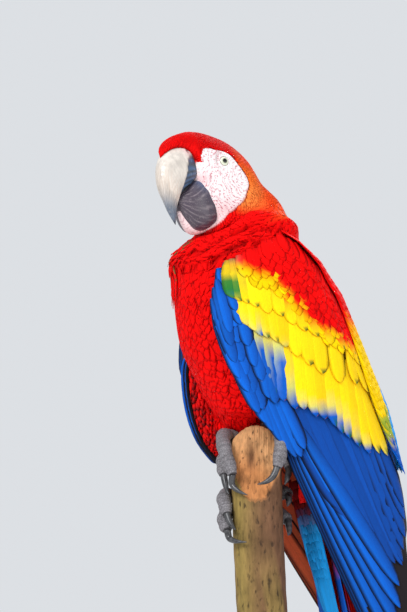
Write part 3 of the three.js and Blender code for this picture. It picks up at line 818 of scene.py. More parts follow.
def bodyCoat(name, spec):
    root = bodyRoots(spec)
    at = bodyOutline(*root.T)
    forward, _, top = inHead(at)
    underBeak = (forward > 22) & (top < -12) & (root[:, 0] < 3)
    keep = (bareness(at) < -0.3) & ~underBeak
    root, at = root[keep], at[keep]
    u, angle = root.T
    count = len(root)
    spread = lambda key: graph(spec[key], u) * (0.85 + 0.3 * rng.random(count))
    length = spread("length")
    if spec["template"] is hairVane:
        length = length * blend(0.55, 1.0, smooth(0, 8, -bareness(at)))
    turn = np.radians(spec["stray"]) * rng.standard_normal(count) * 0.6
    tip = stepOnSurface(bodySurface, root, length, turn + flowAngle(at, angle))
    tip[:, 0] = np.minimum(tip[:, 0], bodyEnd + 0.6)
    fleck = varied(count, 0.04)
    dark = (rng.random(count) < 0.05)[:, None, None, None]

    def tint(p, q, s, t):
        colour = bodyTint(bodyOutline(p, q), p, q) * fleck
        colour = dye(colour * 0.93, colour, smooth(0.0, 0.5, s))
        return np.where(dark, colour * 0.85, colour)
    width = spread("width")
    depth = np.minimum(coatDepth(u, at), 0.6)
    coat = layVanes(coatSurface, spec["template"], root, tip, tint, width=width, base=0.2 - depth,
                    rise=depth + 0.03 * rng.standard_normal(count), thick=0.08, cup=0.01,
                    roll=0.015 * rng.standard_normal(count), unwrap=bodyUnwrap)
    makePiece(name, [coat], plumagePaint)


for name, spec in coats.items():
    bodyCoat(name, spec)


ruff = {"throat": {"count": 110, "angle": (148, 214), "u": (7.3, 8.5), "length": 19.0, "width": 6.5,
                   "turn": 0.35, "stand": (0.4, 3.4)},
        "collar": {"count": 150, "angle": (55, 150), "u": (7.2, 8.9), "length": 20.0, "width": 7.5,
                   "turn": 1.0, "stand": (0.1, 0.7)},
        "olive": (0.20, 0.10, 0.03), "oliveShare": 0.08}


def ruffCoat():
    # longer pointed feathers: at the throat they stand out, at the collar they hang flat
    throat, collar = ruff["throat"], ruff["collar"]
    count = throat["count"] + collar["count"]
    atThroat = np.arange(count) < throat["count"]
    either = lambda key: np.where(atThroat, throat[key], collar[key])
    drawn = lambda key: np.append(*(rng.uniform(*place[key], place["count"]) for place in (throat, collar)))
    angle = np.radians(drawn("angle"))
    root = pack(drawn("u"), angle)
    turn = flowAngle(bodyOutline(*root.T), angle) * either("turn") + 0.14 * rng.standard_normal(count)
    tip = stepOnSurface(bodySurface, root, either("length") * rng.uniform(0.8, 1.15, count), turn)
    fleck = varied(count, 0.07)
    olive = ((rng.random(count) < ruff["oliveShare"]) & atThroat)[:, None, None, None]
    end = np.where(olive, ruff["olive"], hue["red"])
    tint = lambda p, q, s, t: dye(hue["red"] * fleck, end, smooth(0.2, 0.7, s))
    stand = np.where(atThroat, *(rng.uniform(*place["stand"], count) for place in (throat, collar)))
    coat = layVanes(coatSurface, smallVane, root, tip, tint, width=either("width"), base=-0.7,
                    rise=stand + 0.7, thick=0.2, cup=0.2, roll=0.1 * rng.standard_normal(count),
                    unwrap=bodyUnwrap)
    makePiece("ruff_feathers", [coat], plumagePaint)


ruffCoat()


# thigh feathers, and the loose belly feathers that hang down to the perch
tufts = {**thighs, "belly": {"stops": [[0, -22, 640], [0, -18, 624], [-2, -13, 611], [-4, -6, 601]],
                             "radii": [24, 23, 19, 11]}}


def thighCoat():
    parts = []
    for tuft in tufts.values():
        surface = tubeSurface(tuft["stops"], tuft["radii"])
        root = staggered(np.linspace(0.02, 0.93, 16), circle(22), np.pi / 22, 0.02)
        tip = stepOnSurface(surface, root, 14.0, 0.15 * rng.standard_normal(len(root)))
        tip[:, 0] = np.minimum(tip[:, 0], 1.0)
        fleck = varied(len(root), 0.10)
        tint = lambda p, q, s, t: hue["red"] * fleck * rootShade(s, 0.75, 0.5)
        unwrap = lambda p, q: pack(0.02 + 0.9 * p, 0.02 + 0.9 * (q % 6.2832) / 6.2832)
        parts.append(layVanes(surface, bodyVane, root, tip, tint, width=7.0, base=-1.6, rise=1.9, thick=0.2,
                              cup=0.1, unwrap=unwrap))
    makePiece("thigh_feathers", parts, plumagePaint)


thighCoat()


# beak


def beakPart(keys, rows, columns, relief, tint):
    # the solid's own loft on a fine grid, with relief in millimetres along the normal
    u, angle = lattice(np.linspace(0, len(keys) - 1, rows), circle(columns))
    surface = Surface(lambda p, q: section(keys, p, q), 1.0, (1.0, 0.3))
    return gridPart(shutEnds(surface.point(u, angle, relief(u, angle))), tint=ended(tint(u, angle)))


def fromRidge(angle):  # 0 on the culmen, pi on the underside
    return np.abs((angle + np.pi) % (2 * np.pi) - np.pi)


def fromNostril(u, side):
    return np.hypot((u - 0.45) * 9, (side - 0.92) * 15)


def upperRelief(u, angle):
    side = fromRidge(angle)
    ridge = 0.5 * bell(side, 0.3) * smooth(0.2, 1.5, u) - 0.7 * fade(0.3, 1.6, side)
    edge = 0.55 * bell(side - 2.5, 0.2) * smooth(0.3, 1.0, u) * fade(4, 6, u)
    plates = 0.35 * smooth(-0.1, 0.1, side - graph(slateEdge, u)) * fade(3.0, 4.2, u)
    cere = 1.3 * bell(fromNostril(u, side), 3.2) - 2.4 * bell(fromNostril(u, side), 1.2)
    layers = 0.05 * np.sin(u * 21 + 1.5 * np.sin(side * 3))
    return ridge + edge + cere + layers - plates - 0.35


slateEdge = [(0, 1.12), (0.6, 1.2), (1.6, 1.68), (2.4, 2.12), (3.2, 2.42), (4.2, 2.75), (5, 3.3)]


def upperTint(u, angle):
    side = fromRidge(angle)
    bone, tan, slate, dark = (np.array(c) for c in (
        (0.62, 0.56, 0.50), (0.52, 0.36, 0.26), (0.075, 0.105, 0.16), (0.012, 0.012, 0.016)))
    streak = 0.5 + 0.5 * np.sin(side * 34 + 3 * np.sin(u * 2.6) + 2 * np.sin(side * 9))
    colour = dye(bone, tan, 0.5 * smooth(2.3, 4.0, u) * fade(4.9, 5.6, u) * streak)
    tip = smooth(4.2, 6.2, u + 0.5 * streak * smooth(3.2, 4.8, u))
    colour = dye(colour, slate, 0.95 * tip)
    colour = dye(colour, dark, smooth(6.3, 7.0, u))
    into = side - graph(slateEdge, u) + 0.03 * np.sin(u * 17)
    patch = smooth(-0.05, 0.06, into) * fade(4.2, 5.2, u)
    lit = slate * (0.8, 1.15, 1.5)
    shade = dye(lit, slate * 0.35, 0.5 + 0.5 * np.sin(side * 21 + u * 3))
    colour = dye(colour, shade, patch)
    rim = np.maximum(bell(into - 0.03, 0.07) * 0.55, bell(u - 0.05, 0.16) * smooth(-0.05, 0.1, into))
    colour = dye(colour, dark, rim * fade(3.4, 4.6, u))
    colour = dye(colour, dark, smooth(2.72, 2.95, side) * fade(4.8, 6, u))
    colour = dye(colour, (0.70, 0.45, 0.45), bell(fromNostril(u, side), 3.4))
    # painted shade: dark in the middle of the nostril's pit
    return dye(colour, (0.10, 0.02, 0.02), bell(fromNostril(u, side), 1.3))


def lowerTint(u, angle):
    side = fromRidge(angle)
    plum, ash, steel = (0.062, 0.05, 0.066), (0.27, 0.22, 0.235), (0.03, 0.09, 0.20)
    # long pale scratches running forward and down
    down = side * 15 + 0.45 * np.sin(u * 2.3) + 0.25 * np.sin(side * 23 + u * 2)
    rows = np.sin(down * 2.4) * np.sin(down * 0.9 + u * 0.8)
    streak = smooth(0.15, 0.95, rows) * smooth(0.1, 0.7, u) * (0.55 + 0.45 * np.sin(u * 2.7 + side * 5) ** 2)
    colour = dye(np.array(plum) * (0.8, 0.66, 0.8), np.array(ash), 0.6 * streak)
    # painted sheen: a steel-blue highlight near the top of the lower beak, towards its root
    near = bell(u - 0.35, 0.75) * bell(side - 0.75, 0.5)
    colour = dye(colour, steel, 0.9 * near)
    # painted shade: darker along the top edge, where it lies under the upper beak, and at the root against
    # the face
    edge = np.maximum(fade(0.02, 0.32, side), bell(u, 0.12))
    return colour * (1 - 0.75 * edge)[..., None]


def beakPaint(name, streak, rough):
    paint = Paint(name, Specular_IOR_Level=0.5, Coat_Roughness=0.25)
    place = paint.place()
    swirl = paint.noise(paint.stretched(place, streak), 1.0, 4.0, 0.65)
    blotch = paint.noise(place, 70.0, 3.0)
    scratch = paint.between(paint.noise(paint.stretched(place, tuple(2.6 * s for s in streak)), 1.0, 2.0),
                            0.56, 0.72)
    tint = paint.attribute("tint")
    shade = paint.between(swirl * 0.6 + blotch * 0.4, 0.32, 0.68, 0.72, 1.22)
    colour = paint.shaded(tint, shade)
    pale = scratch * paint.between(paint.split(tint, "X"), 0.01, 0.06, 0.0, 0.25)
    paint.feed("Base Color", paint.mix(pale, colour, (0.42, 0.37, 0.36)))
    paint.feed("Roughness", paint.between(swirl, 0.3, 0.7, rough - 0.08, rough + 0.14))
    paint.feed("Coat Weight", paint.between(blotch, 0.3, 0.7, 0.12, 0.3))
    paint.bump(swirl * 0.7 + scratch * 0.3, 0.4, 0.35)
    return paint.material


makePiece("beak_top", [beakPart(upperKeys, 110, 84, upperRelief, upperTint)],
          beakPaint("bone_horn", (420.0, 160.0, 90.0), 0.36), ["beak_upper"])
# painted shade: the inside of the mouth is a black sheet between the beaks, standing in for the shade there
mouth = beakPart(mouthKeys, 24, 24, lambda u, a: 0 * u, lambda u, a: plain(hue["black"], u))
mouth["uv"] = 0.96 + 0.03 * mouth["uv"]
lower = beakPart(lowerKeys, 80, 110, lambda u, a: 0.08 * np.sin(a * 23 + 2 * np.sin(u)) - 0.2, lowerTint)
lower["uv"] = 0.95 * lower["uv"]
makePiece("beak_bottom", [lower, mouth],
          beakPaint("dark_horn", (160.0, 420.0, 300.0), 0.42), ["beak_lower"])


def browCoat():
    root = staggered(np.linspace(0.04, 0.995, 36), np.linspace(-1.36, 1.36, 54), 0.026, (0.01, 0.012))
    root[:, 0] = np.clip(root[:, 0], 0.03, 0.998)
    count = len(root)
    tip = stepOnSurface(browSurface, root, 6.0, math.pi + 0.22 * rng.standard_normal(count))
    tip[:, 0] = np.maximum(tip[:, 0], -0.02)
    fleck = varied(count, 0.07)
    tint = lambda p, q, s, t: hue["crown"] * fleck * rootShade(s, 0.85, 0.5)
    coat = layVanes(browSurface, hairVane, root, tip, tint, width=2.6, base=-0.5, rise=0.75, cup=0.1,
                    unwrap=lambda p, q: pack(0.02 + 0.9 * np.clip(p, 0, 1), 0.5 + 0.3 * q))
    makePiece("forehead_feathers", [coat], plumagePaint)


browCoat()


faceTuft = {"tries": 26000, "most": 1100, "length": 1.5, "width": 0.5, "nearLine": 0.06, "inside": 1.0,
            "eyeGap": 7.5, "colour": (0.66, 0.27, 0.32)}


def faceTufts():
    # one tiny feather after another along the face's lines
    root = pack(6.4 * rng.random(faceTuft["tries"]), 2 * np.pi * rng.random(faceTuft["tries"]))
    at = bodyOutline(*root.T)
    rows = (faceLines(at) + 0.9) / faceRow
    eyeGap = np.minimum(*(np.linalg.norm(at - headPoint(eye["forward"], sign * 22, eye["top"]), axis=-1)
                          for sign in (1, -1)))
    root = root[(bareness(at) > faceTuft["inside"]) & (np.abs(rows % 1 - 0.5) < faceTuft["nearLine"])
                & (eyeGap > faceTuft["eyeGap"])][:faceTuft["most"]]
    tip = stepOnSurface(bodySurface, root, faceTuft["length"], 0.5 * rng.standard_normal(len(root)))
    coat = layVanes(bodySurface, hairVane, root, tip, lambda p, q, s, t: plain(faceTuft["colour"], p),
                    width=faceTuft["width"], base=-0.22, rise=0.3, thick=0.14, unwrap=bodyUnwrap)
    coat["vane"][:, 0] += 1.0  # no dark shaft on these
    makePiece("face_feathers", [coat], plumagePaint)


faceTufts()


# eyes


def eyePart(sign):
    axis = eyeAxis(sign)
    first = unit(np.cross(axis, (0.0, 0.0, 1.0)))
    second = np.cross(axis, first)
    degrees = np.concatenate([[0.3], np.arange(2, 90, 2), np.arange(95, 180, 8), [179.5]])
    polar, angle = lattice(np.radians(degrees), circle(48))
    bulge = 1 + 0.035 * bell(polar, 0.5)
    points = eyeCentre(sign) + eye["radius"] * bulge[..., None] * (
        axis * np.cos(polar)[..., None] + first * (np.sin(polar) * np.cos(angle))[..., None]
        + second * (np.sin(polar) * np.sin(angle))[..., None])
    # black pupil, pale flecked iris that darkens towards it, dull ring at the lid
    pupil = eye["pupil"]
    reach = eye["radius"] * np.sin(polar) + 8.0 * (polar > np.pi / 2)
    fleck = 0.12 * np.sin(angle * 17 + 3 * np.sin(angle * 5)) * smooth(2.1, 2.6, reach)
    iris = np.array((0.68, 0.70, 0.56)) * (1 + fleck[..., None])
    iris = dye(iris, (0.42, 0.46, 0.32), bell(reach - pupil - 0.2, 0.4))
    colour = dye(np.array((0.004, 0.004, 0.005)), iris, smooth(pupil - 0.12, pupil + 0.12, reach))
    return gridPart(points, tint=dye(colour, (0.20, 0.19, 0.16), smooth(3.7, 4.15, reach)))


def eyePaint():
    paint = Paint("eye_gloss", Roughness=0.1, Specular_IOR_Level=0.22, Coat_Weight=0.12, Coat_Roughness=0.02)
    paint.feed("Base Color", paint.attribute("tint"))
    return paint.material


eyeGloss = eyePaint()
for sign, side in ((1, "left"), (-1, "right")):
    makePiece(f"eyeball_{side}", [eyePart(sign)], eyeGloss, [f"eye_{side}"])
print("head done")


# wings: the solids' outer surface, with along from wrist to tip and across from front to back

wing = {"wrist": np.array([0, -62.0, 728.0]), "lean": math.radians(27.6), "length": 407.0,
        "front": {1: [(-4, 22), (4, 2), (12, -10), (24, -17), (60, -23), (110, -28), (144, -27), (160, -19),
                      (178, -15), (215, -16), (290, -9), (360, -1), (407, 7)],
                  -1: [(-4, 34), (12, 18), (40, -4), (57, -19), (80, -33), (108, -40), (150, -42),
                       (185, -36), (253, -14), (290, -8), (360, -1), (407, 7)]},
        "back": {1: [(-4, 86), (10, 96), (36, 106), (70, 110), (120, 105), (145, 101), (170, 98), (205, 96),
                     (234, 95), (252, 90), (280, 79), (304, 60), (332, 44), (360, 30), (407, 12)],
                 -1: [(-4, 86), (10, 98), (36, 114), (70, 122), (120, 124), (145, 126), (170, 127),
                      (205, 123), (238, 112), (258, 91), (303, 52), (350, 29), (407, 9.5)]},
        "out": [(-4, 56), (10, 60), (40, 63), (100, 64), (160, 60), (220, 53), (290, 44), (330, 38),
                (360, 30), (407, 15)]}


def wingOutline(sign):
    # an arch (1 - reach^2.4)^(1/2.4) across the wing, times its height above the body
    def outline(along, across):
        offset = across - 25
        span = np.maximum(graph(wing["back"][sign], along), 70) - 23 + np.maximum(9 - along / 6, 0)
        reach = np.abs(offset) / np.where(offset < 0, 80, span)
        arch = (1 - np.minimum(reach, 0.99) ** 2.4) ** (1 / 2.4)
        bulge = 5 * np.sin(np.pi * np.clip(along / 330, 0, 1)) if sign < 0 else 0
        out = graph(wing["out"], along) * arch + bulge
        c, s = math.cos(wing["lean"]), math.sin(wing["lean"])
        return pack(sign * out, wing["wrist"][1] + along * s + across * c,
                    wing["wrist"][2] - along * c + across * s)
    return outline


wingSurface = {sign: Surface(wingOutline(sign), float(sign), (6.0, 6.0)) for sign in (1, -1)}


def wingEdges(sign, along):
    return [graph(wing[edge][sign], along) for edge in ("front", "back")]


def carried(along, across, start, end):
    # across on the wing of one sign, brought to the other's at the same share of the width
    if start == end:
        return across
    low, high = wingEdges(start, along)
    return blend(*wingEdges(end, along), (across - low) / (high - low))


redEdge = [(-30, 5), (-5, 20), (15, 33), (32, 48), (55, 54), (80, 64), (110, 92), (140, 120), (260, 140)]
blueEdge = [(-30, 5), (5, 2), (13, 9), (26, 9), (35, -1), (50, -3), (70, 11), (90, 20), (115, 12), (135, 18),
            (155, 43), (190, 58), (250, 110)]


def wingTint(along, across, edgeShift):
    # red above the red line, blue below the blue line, yellow between, by distance in millimetres
    redAway = (across - graph(redEdge, along)) * 0.8 + edgeShift
    blueAway = (graph(blueEdge, along) - across) * 0.8 + edgeShift * 1.4
    colour = dye(hue["yellow"], hue["gold"], 0.8 * smooth(-9, -1, redAway))
    colour = dye(colour, hue["red"], smooth(-2.5, 2.5, redAway))
    front = fade(24, 66, along)
    pale = smooth(-9, -2, blueAway) * fade(2, 5, blueAway) * blend(0.45, 0.95, np.maximum(
        front, bell(along - 105, 40)))
    colour = dye(colour, dye(hue["pale"], hue["green"], front), pale)
    colour = dye(colour, hue["blue"], smooth(-1.5, 3, blueAway))
    # a green patch near the wrist and a grey point at its top
    patch = bell(np.hypot(along - 19, (across - 9) * 0.8) + edgeShift, 8)
    colour = dye(colour, hue["green"], 0.9 * patch)
    return dye(colour, hue["grey"], 0.8 * bell(np.hypot((along + 5) * 0.7, across - 22), 5))


# tracts of large wing feathers: root and tip lines from front to back, on the left wing
tracts = {
    "primaries": {
        "roots": [(132, -10), (134, -8), (138, -4), (142, 1), (146, 7)],
        "tips": [(388, 7), (406, 8), (398, 11), (356, 22), (318, 35)],
        "count": 9, "width": 17, "base": (-6.0, -3.6), "rise": 2.6, "colour": "blue"},
    "secondaries": {
        "roots": [(92, 2), (102, 20), (114, 42), (126, 64), (134, 84)],
        "tips": [(236, 12), (268, 24), (304, 44), (290, 62), (262, 80)],
        "count": 12, "width": 21, "base": (-5.2, -4.0), "rise": 2.6, "colour": "secondary"},
    "primary_coverts": {
        "roots": [(62, -14), (74, -10), (88, -6), (100, -2), (112, 4)],
        "tips": [(138, -17), (154, -13), (168, -9), (176, -4), (172, 4)],
        "count": 7, "width": 14, "base": (-4.2, -3.4), "rise": 2.4, "colour": "blue"},
    "carpal_coverts": {
        "roots": [(0, 6), (14, -4), (30, -9), (46, -12), (60, -13)],
        "tips": [(52, -6), (70, -11), (88, -14), (106, -15), (124, -15)],
        "count": 6, "width": 19, "base": (-2.9, -2.6), "rise": 1.5, "colour": "blue"},
    "greater_coverts": {
        "roots": [(44, 18), (58, 32), (72, 44), (85, 57), (103, 68), (116, 76), (131, 88), (145, 100)],
        "tips": [(112, -4), (128, 4), (142, 16), (155, 29), (173, 40), (186, 48), (201, 60), (215, 78)],
        "count": 14, "width": 19, "base": (-3.2, -2.8), "rise": 1.9, "colour": "region"},
    "alula": {
        "roots": [(-2, 14), (6, 10), (18, 9), (42, 6), (58, 5), (74, 5), (84, 8)],
        "tips": [(26, 6), (40, 1), (56, 0), (85, -4), (99, -5), (117, -6), (127, -3)],
        "count": 8, "width": 14, "base": (-2.8, -2.5), "rise": 1.7, "colour": "blue"},
    "lower_medians": {
        "roots": [(12, 24), (22, 28), (28, 37), (46, 47), (63, 58), (84, 73), (102, 98), (108, 104)],
        "tips": [(56, 5), (68, 10), (76, 18), (92, 28), (109, 38), (130, 54), (148, 80), (156, 98)],
        "count": 13, "width": 19, "base": (-2.3, -2.0), "rise": 1.4, "colour": "region"},
    "upper_medians": {
        "roots": [(-2, 17), (0, 25), (14, 37), (32, 54), (50, 66), (71, 84), (89, 101), (95, 105)],
        "tips": [(34, 4), (38, 12), (50, 24), (68, 41), (86, 53), (107, 71), (125, 93), (132, 103)],
        "count": 14, "width": 18, "base": (-1.6, -1.4), "rise": 1.1, "colour": "region"},
    "wrist_edge": {
        "roots": [(8, -1), (15, -8), (26, -15), (44, -19), (68, -20)],
        "tips": [(56, -12), (70, -17), (86, -20), (104, -20), (128, -19)],
        "count": 6, "width": 14, "base": (-1.8, -1.6), "rise": 1.1, "colour": "blue"}}


def tractPart(sign, spec, cell):
    count, wide = spec["count"], spec["width"]
    share = np.linspace(0, len(spec["roots"]) - 1, count)
    root, tip = (keyed(spec[line], share) for line in ("roots", "tips"))
    for end in (root, tip):
        end[:, 1] = carried(*end.T, 1, sign)
    tip = tip + rng.standard_normal((count, 2)) * (1.5, 0.6)
    for end in (root, tip):
        end[:, 1] = np.minimum(end[:, 1], graph(wing["back"][sign], end[:, 0]) - 0.62 * wide)
    green = (rng.random(count) < 0.4)[:, None, None] & (spec["colour"] == "region")
    shift = rng.standard_normal(count)[:, None, None] * 1.6
    fleck = varied(count, 0.09)
    second = spec["colour"] == "secondary"

    def tint(p, q, s, t):
        if spec["colour"] == "region":
            midP, midQ = (root[:, k:k + 1, None] + (tip - root)[:, k:k + 1, None] * s for k in (0, 1))
            midQ = carried(midP, midQ, sign, 1)
            colour = wingTint(midP, midQ + 1.5 * np.abs(t), shift)
            lit = smooth(-0.1, -0.6, t * sign) * bell(midP - 80, 22) * bell(midQ - 8, 11)
            colour = dye(colour, hue["moss"], 0.85 * lit)
        else:
            # lighter outer web; darker inner web, its own colour and also painted shade where the next
            # feather covers it; a black rim as painted shade in the gaps between feathers
            web = blend(hue["blue"], hue["deepBlue"], 0.5 if second else 0.1)
            colour = dye(web, hue["azure"], 0.55 * bell(t * sign + 0.45, 0.4) * (not second))
            colour = dye(colour, hue["deepBlue"] * 0.6, 0.8 * smooth(0.2, 0.9, t * sign))
            colour = dye(colour, hue["black"], smooth(0.9, 1.0, np.abs(t)))
        mark = green * smooth(0.93, 0.965, s) * smooth(-0.5, 0.1, t * sign)
        return dye(colour, hue["green"] * 0.5, 0.9 * mark) * fleck * rootShade(s, 0.7, 0.35)
    shape = longVane if count < 13 and wide > 12 else roundVane
    return layVanes(wingSurface[sign], shape, root, tip, tint, width=wide * (0.95 + 0.1 * rng.random(count)),
                    base=np.linspace(*spec["base"], count), rise=spec["rise"], thick=0.6, cup=0.4,
                    roll=-0.4 * sign, islands=(10, 10, cell), under=hue["lining"] if wide > 16 else None)


def wingShell(sign):
    # thin closed plate under the feathers, a little inside the solids' outer and inner faces
    along, share = lattice(np.linspace(4, 385, 60), np.linspace(0.09, 0.96, 110))
    across = blend(*wingEdges(sign, along), share)
    room = graph([(0, 4.2), (160, 5.0), (230, 4.8), (300, 3.6), (385, 1.9)], along)
    outer, inner = (wingSurface[sign].point(along, across, -room - thick) for thick in (0.0, 0.8))
    tint = wingTint(along, carried(along, across, sign, 1), 0.0) * 0.8
    # painted shade: the shell's top turns black from along 212 to 230, a dark sheet standing in for the
    # shadow beyond the secondaries
    tint = dye(tint, hue["black"] * 1.5, smooth(212, 230, along))
    # underside: orange-red vanes with black shafts and a black leading edge
    dark = (np.abs((share * 13) % 1 - 0.5) < 0.09) | (share < 0.13)
    under = np.where(dark[..., None], hue["black"], hue["lining"])[:, ::-1]
    tint = ended(np.concatenate([tint, under], 1))
    return gridPart(shutEnds(np.concatenate([outer, inner[:, ::-1]], 1)), tint=tint, vane=0 * tint)


def fieldPart(sign, spec, inside):
    # small coverts in staggered rows over the part of the wing where inside(along, across) holds
    along, share = lattice(np.arange(-2, 215, spec["row"]), np.arange(0.02, 1.0, 0.001))
    low, high = wingEdges(sign, along)
    step = spec["across"] / (high - low)
    number = np.floor(share / step + 0.5 * (np.arange(len(along)) % 2)[:, None])
    first = np.diff(number, axis=1, prepend=-1) > 0
    root = pack(along[first], blend(low, high, share)[first])
    root = root + rng.standard_normal(root.shape) * 0.7
    root[:, 1] = np.minimum(root[:, 1], graph(wing["back"][sign], root[:, 0]) - 11)
    root = root[inside(root[:, 0], carried(*root.T, sign, 1))]
    count = len(root)
    turn = spec["turn"] * sign + 0.10 * rng.standard_normal(count)
    surface = wingSurface[sign]
    tip = stepOnSurface(surface, root, spec["length"] * (0.9 + 0.2 * rng.random(count)), turn)
    shift = rng.standard_normal(count)[:, None, None] * 2.2
    fleck = varied(count, 0.08)
    if spec["under"]:
        surface = Surface(surface.outline, -surface.outward, surface.step,
                          lambda p, q, at, height: spec["under"] + height)
        tint = lambda p, q, s, t: dye(hue["red"] * 0.7 * fleck, hue["black"], smooth(0.72, 0.95, s) * 0.85)
    else:
        tint = lambda p, q, s, t: (wingTint(p, carried(p, q, sign, 1), shift) * fleck
                                   * rootShade(s, 0.88, 0.45))
    width = spec["width"] * (0.9 + 0.2 * rng.random(count))
    unwrap = lambda p, q: pack(0.02 + 0.95 * np.clip(p / wing["length"], 0, 1), 0.3 + (q + 35) / 300)
    return layVanes(surface, bodyVane, root, tip, tint, width=width, base=spec["base"],
                    rise=spec["rise"], thick=0.16, cup=0.06, unwrap=unwrap)


lesser = {"row": 5.6, "across": 5.6, "length": 22.0, "width": 12.0, "turn": -0.3, "base": -1.3,
          "rise": 0.975, "under": 0}
lining = {"row": 5.0, "across": 5.5, "length": 14.0, "width": 8.0, "turn": 0.1, "base": 0.2,
          "rise": 1.3, "under": 7.0}
flight = ("primaries", "secondaries", "primary_coverts", "carpal_coverts", "alula", "wrist_edge")
middle = ("greater_coverts", "lower_medians", "upper_medians")


def tractParts(sign, names):
    cells = np.cumsum([0] + [tracts[name]["count"] for name in names])
    return [tractPart(sign, tracts[name], cell) for name, cell in zip(names, cells)]


for sign, side in ((1, "left"), (-1, "right")):
    shell = wingShell(sign)
    shell["uv"] = 0.5 + shell["uv"] * 0.49
    makePiece(f"wing_{side}_flight", [shell, *tractParts(sign, flight)], flightPaint,
              [f"wing_{side}_primaries", f"wing_{side}_secondaries"])
    makePiece(f"wing_{side}_middle", tractParts(sign, middle), flightPaint, [f"wing_{side}_coverts"])
    small = fieldPart(sign, lesser, lambda p, q: q > graph(redEdge, p) + 3)
    makePiece(f"wing_{side}_lesser", [small], plumagePaint, [f"wing_{side}_shoulder"])
    under = fieldPart(sign, lining, lambda p, q: (q < 60) & (p > 10) & (p < 120) & (q > -8))
    makePiece(f"wing_{side}_lining", [under], plumagePaint)


# mantle: feathers that bridge the back between the two wings' back edges
mantle = {"arch": [(-10, 12), (0, 10), (20, 8), (40, 9), (70, 10), (100, 10), (140, 10), (180, 10), (235, 3)],
          "inset": 8.0, "row": 6.5, "columns": 22, "length": 30.0, "width": 12.0}


def mantleOutline(along, q):
    # right wing at q -1, left wing at q 1, raised by arch * (1 - |q|^2.6) over the back
    ends = [wingSurface[sign].point(along, graph(wing["back"][sign], along) - mantle["inset"], 1.2)
            for sign in (-1, 1)]
    high = graph(mantle["arch"], along) * (1 - np.abs(q) ** 2.6)
    return dye(*ends, (q + 1) / 2) + pack(0.0, high * math.cos(wing["lean"]), high * math.sin(wing["lean"]))


def mantleCoat():
    surface = Surface(mantleOutline, -1.0, (6.0, 0.2))
    root = staggered(np.arange(-4, 206, mantle["row"]), np.linspace(-0.95, 0.95, mantle["columns"]), 0.04,
                     (0.8, 0.012))
    root[:, 1] = np.clip(root[:, 1], -0.97, 0.97)
    count = len(root)
    tip = root + pack(mantle["length"], 0.02 * rng.standard_normal(count))
    tip[:, 1] = np.clip(tip[:, 1], -0.98, 0.98)
    fleck = varied(count, 0.06)
    shift = 5 * rng.standard_normal((count, 1, 1))

    def tint(p, q, s, t):
        # red to yellow down the back, with a light blue wedge that widens to the rump
        down = p + shift
        colour = dye(hue["red"], hue["gold"], smooth(88, 100, down))
        colour = dye(colour, hue["yellow"], smooth(98, 112, down))
        colour = dye(colour, hue["green"] * 1.5, 0.7 * smooth(176, 186, down) * fade(196, 206, down))
        colour = dye(colour, hue["blue"], smooth(196, 208, down))
        wide = blend(0.0, 0.55, smooth(112, 206, p))
        rump = smooth(108, 124, down) * fade(wide, wide + 0.16, np.abs(q) + 0.012 * shift)
        return dye(colour, hue["sky"], rump) * fleck
    coat = layVanes(surface, bodyVane, root, tip, tint, width=mantle["width"], base=-1.0, rise=1.6, cup=0.2,
                    unwrap=lambda p, q: pack(0.3 + p / 600, 0.02 + 0.04 * (q + 1)))
    makePiece("mantle_feathers", [coat], plumagePaint)


mantleCoat()


# the right wing's underside where it shows in front: blue and black edge, red lining with dark tips
underwing = {"edge": np.array([[-40, -54, 666], [-40, -56.5, 653], [-40, -55, 630], [-40, -50.5, 610],
                               [-40, -43.5, 593], [-40, -35.5, 582], [-40, -25.5, 571.5]], float),
             "inward": unit(np.array([0.30, 0.93, -0.20])), "depth": 34.0}


def underwingOutline(p, q):
    # q millimetres in from the edge at p, hollowed by q^2 / 90
    hollow = np.array([1.0, 0, 0]) * (q ** 2 / 90)[..., None]
    return keyed(underwing["edge"], np.clip(p, 0, 6)) + q[..., None] * underwing["inward"] - hollow


def underwingCoat():
    surface = Surface(underwingOutline, 1.0, (0.4, 3.0))
    root = staggered(np.arange(0.1, 5.6, 0.26), np.arange(5.5, underwing["depth"], 3.6), 1.8, (0.05, 0.5))
    count = len(root)
    tip = root + pack(0.62, -2.0 + rng.standard_normal(count))
    tip[:, 0] = np.minimum(tip[:, 0], 5.98)
    fleck = varied(count, 0.14)
    dusky = (rng.random(count) < 0.45)[:, None, None]

    def liningTint(p, q, s, t):
        dark = dusky * smooth(0.62, 0.8, s) * 0.7 + 0.15 * smooth(0.7, 1.0, np.abs(t))
        return dye(hue["red"] * 0.9 * fleck, hue["black"], np.clip(dark, 0, 1))

    def edgeTint(p, q, s, t):
        lit = smooth(0.0, -0.3, t + 0.22 * np.clip(p - 2.2, 0, 2)) * smooth(6.0, 4.0, q)
        return dye(hue["black"], hue["blue"], lit)
    unwrap = lambda p, q: pack(0.02 + 0.15 * np.clip(p, 0, 6), 0.5 + q / 100)
    parts = [layVanes(surface, smallVane, root, tip, liningTint, width=6.5, base=-0.6, rise=1.2, cup=0.2,
                      unwrap=unwrap)]
    start = np.linspace(0.02, 4.4, 9)
    for inset, width in ((4.6, 5.0), (2.2, 4.6)):
        root, tip = pack(start, inset), pack(start + 1.55, inset - 0.6)
        parts.append(layVanes(surface, longVane, root, tip, edgeTint, width=width, base=0.4, rise=0.5,
                              thick=0.4, cup=0.3, unwrap=unwrap))
    makePiece("wing_right_underside", parts, flightPaint, [])


underwingCoat()
print("wings done")


# tail: twelve long feathers in a stack, with coverts over and under their roots

tail = {"root": np.array([0, 60.0, 542.0]), "lean": math.radians(12), "length": 495.0, "step": 1.45,
        "pairs": [1, 0.83, 0.69, 0.57, 0.47, 0.39]}


def tailOutline(along, side):
    c, s = math.cos(tail["lean"]), math.sin(tail["lean"])
    lift = -side * side / 260
    return pack(side, tail["root"][1] + along * s + lift * c, tail["root"][2] - along * c + lift * s)


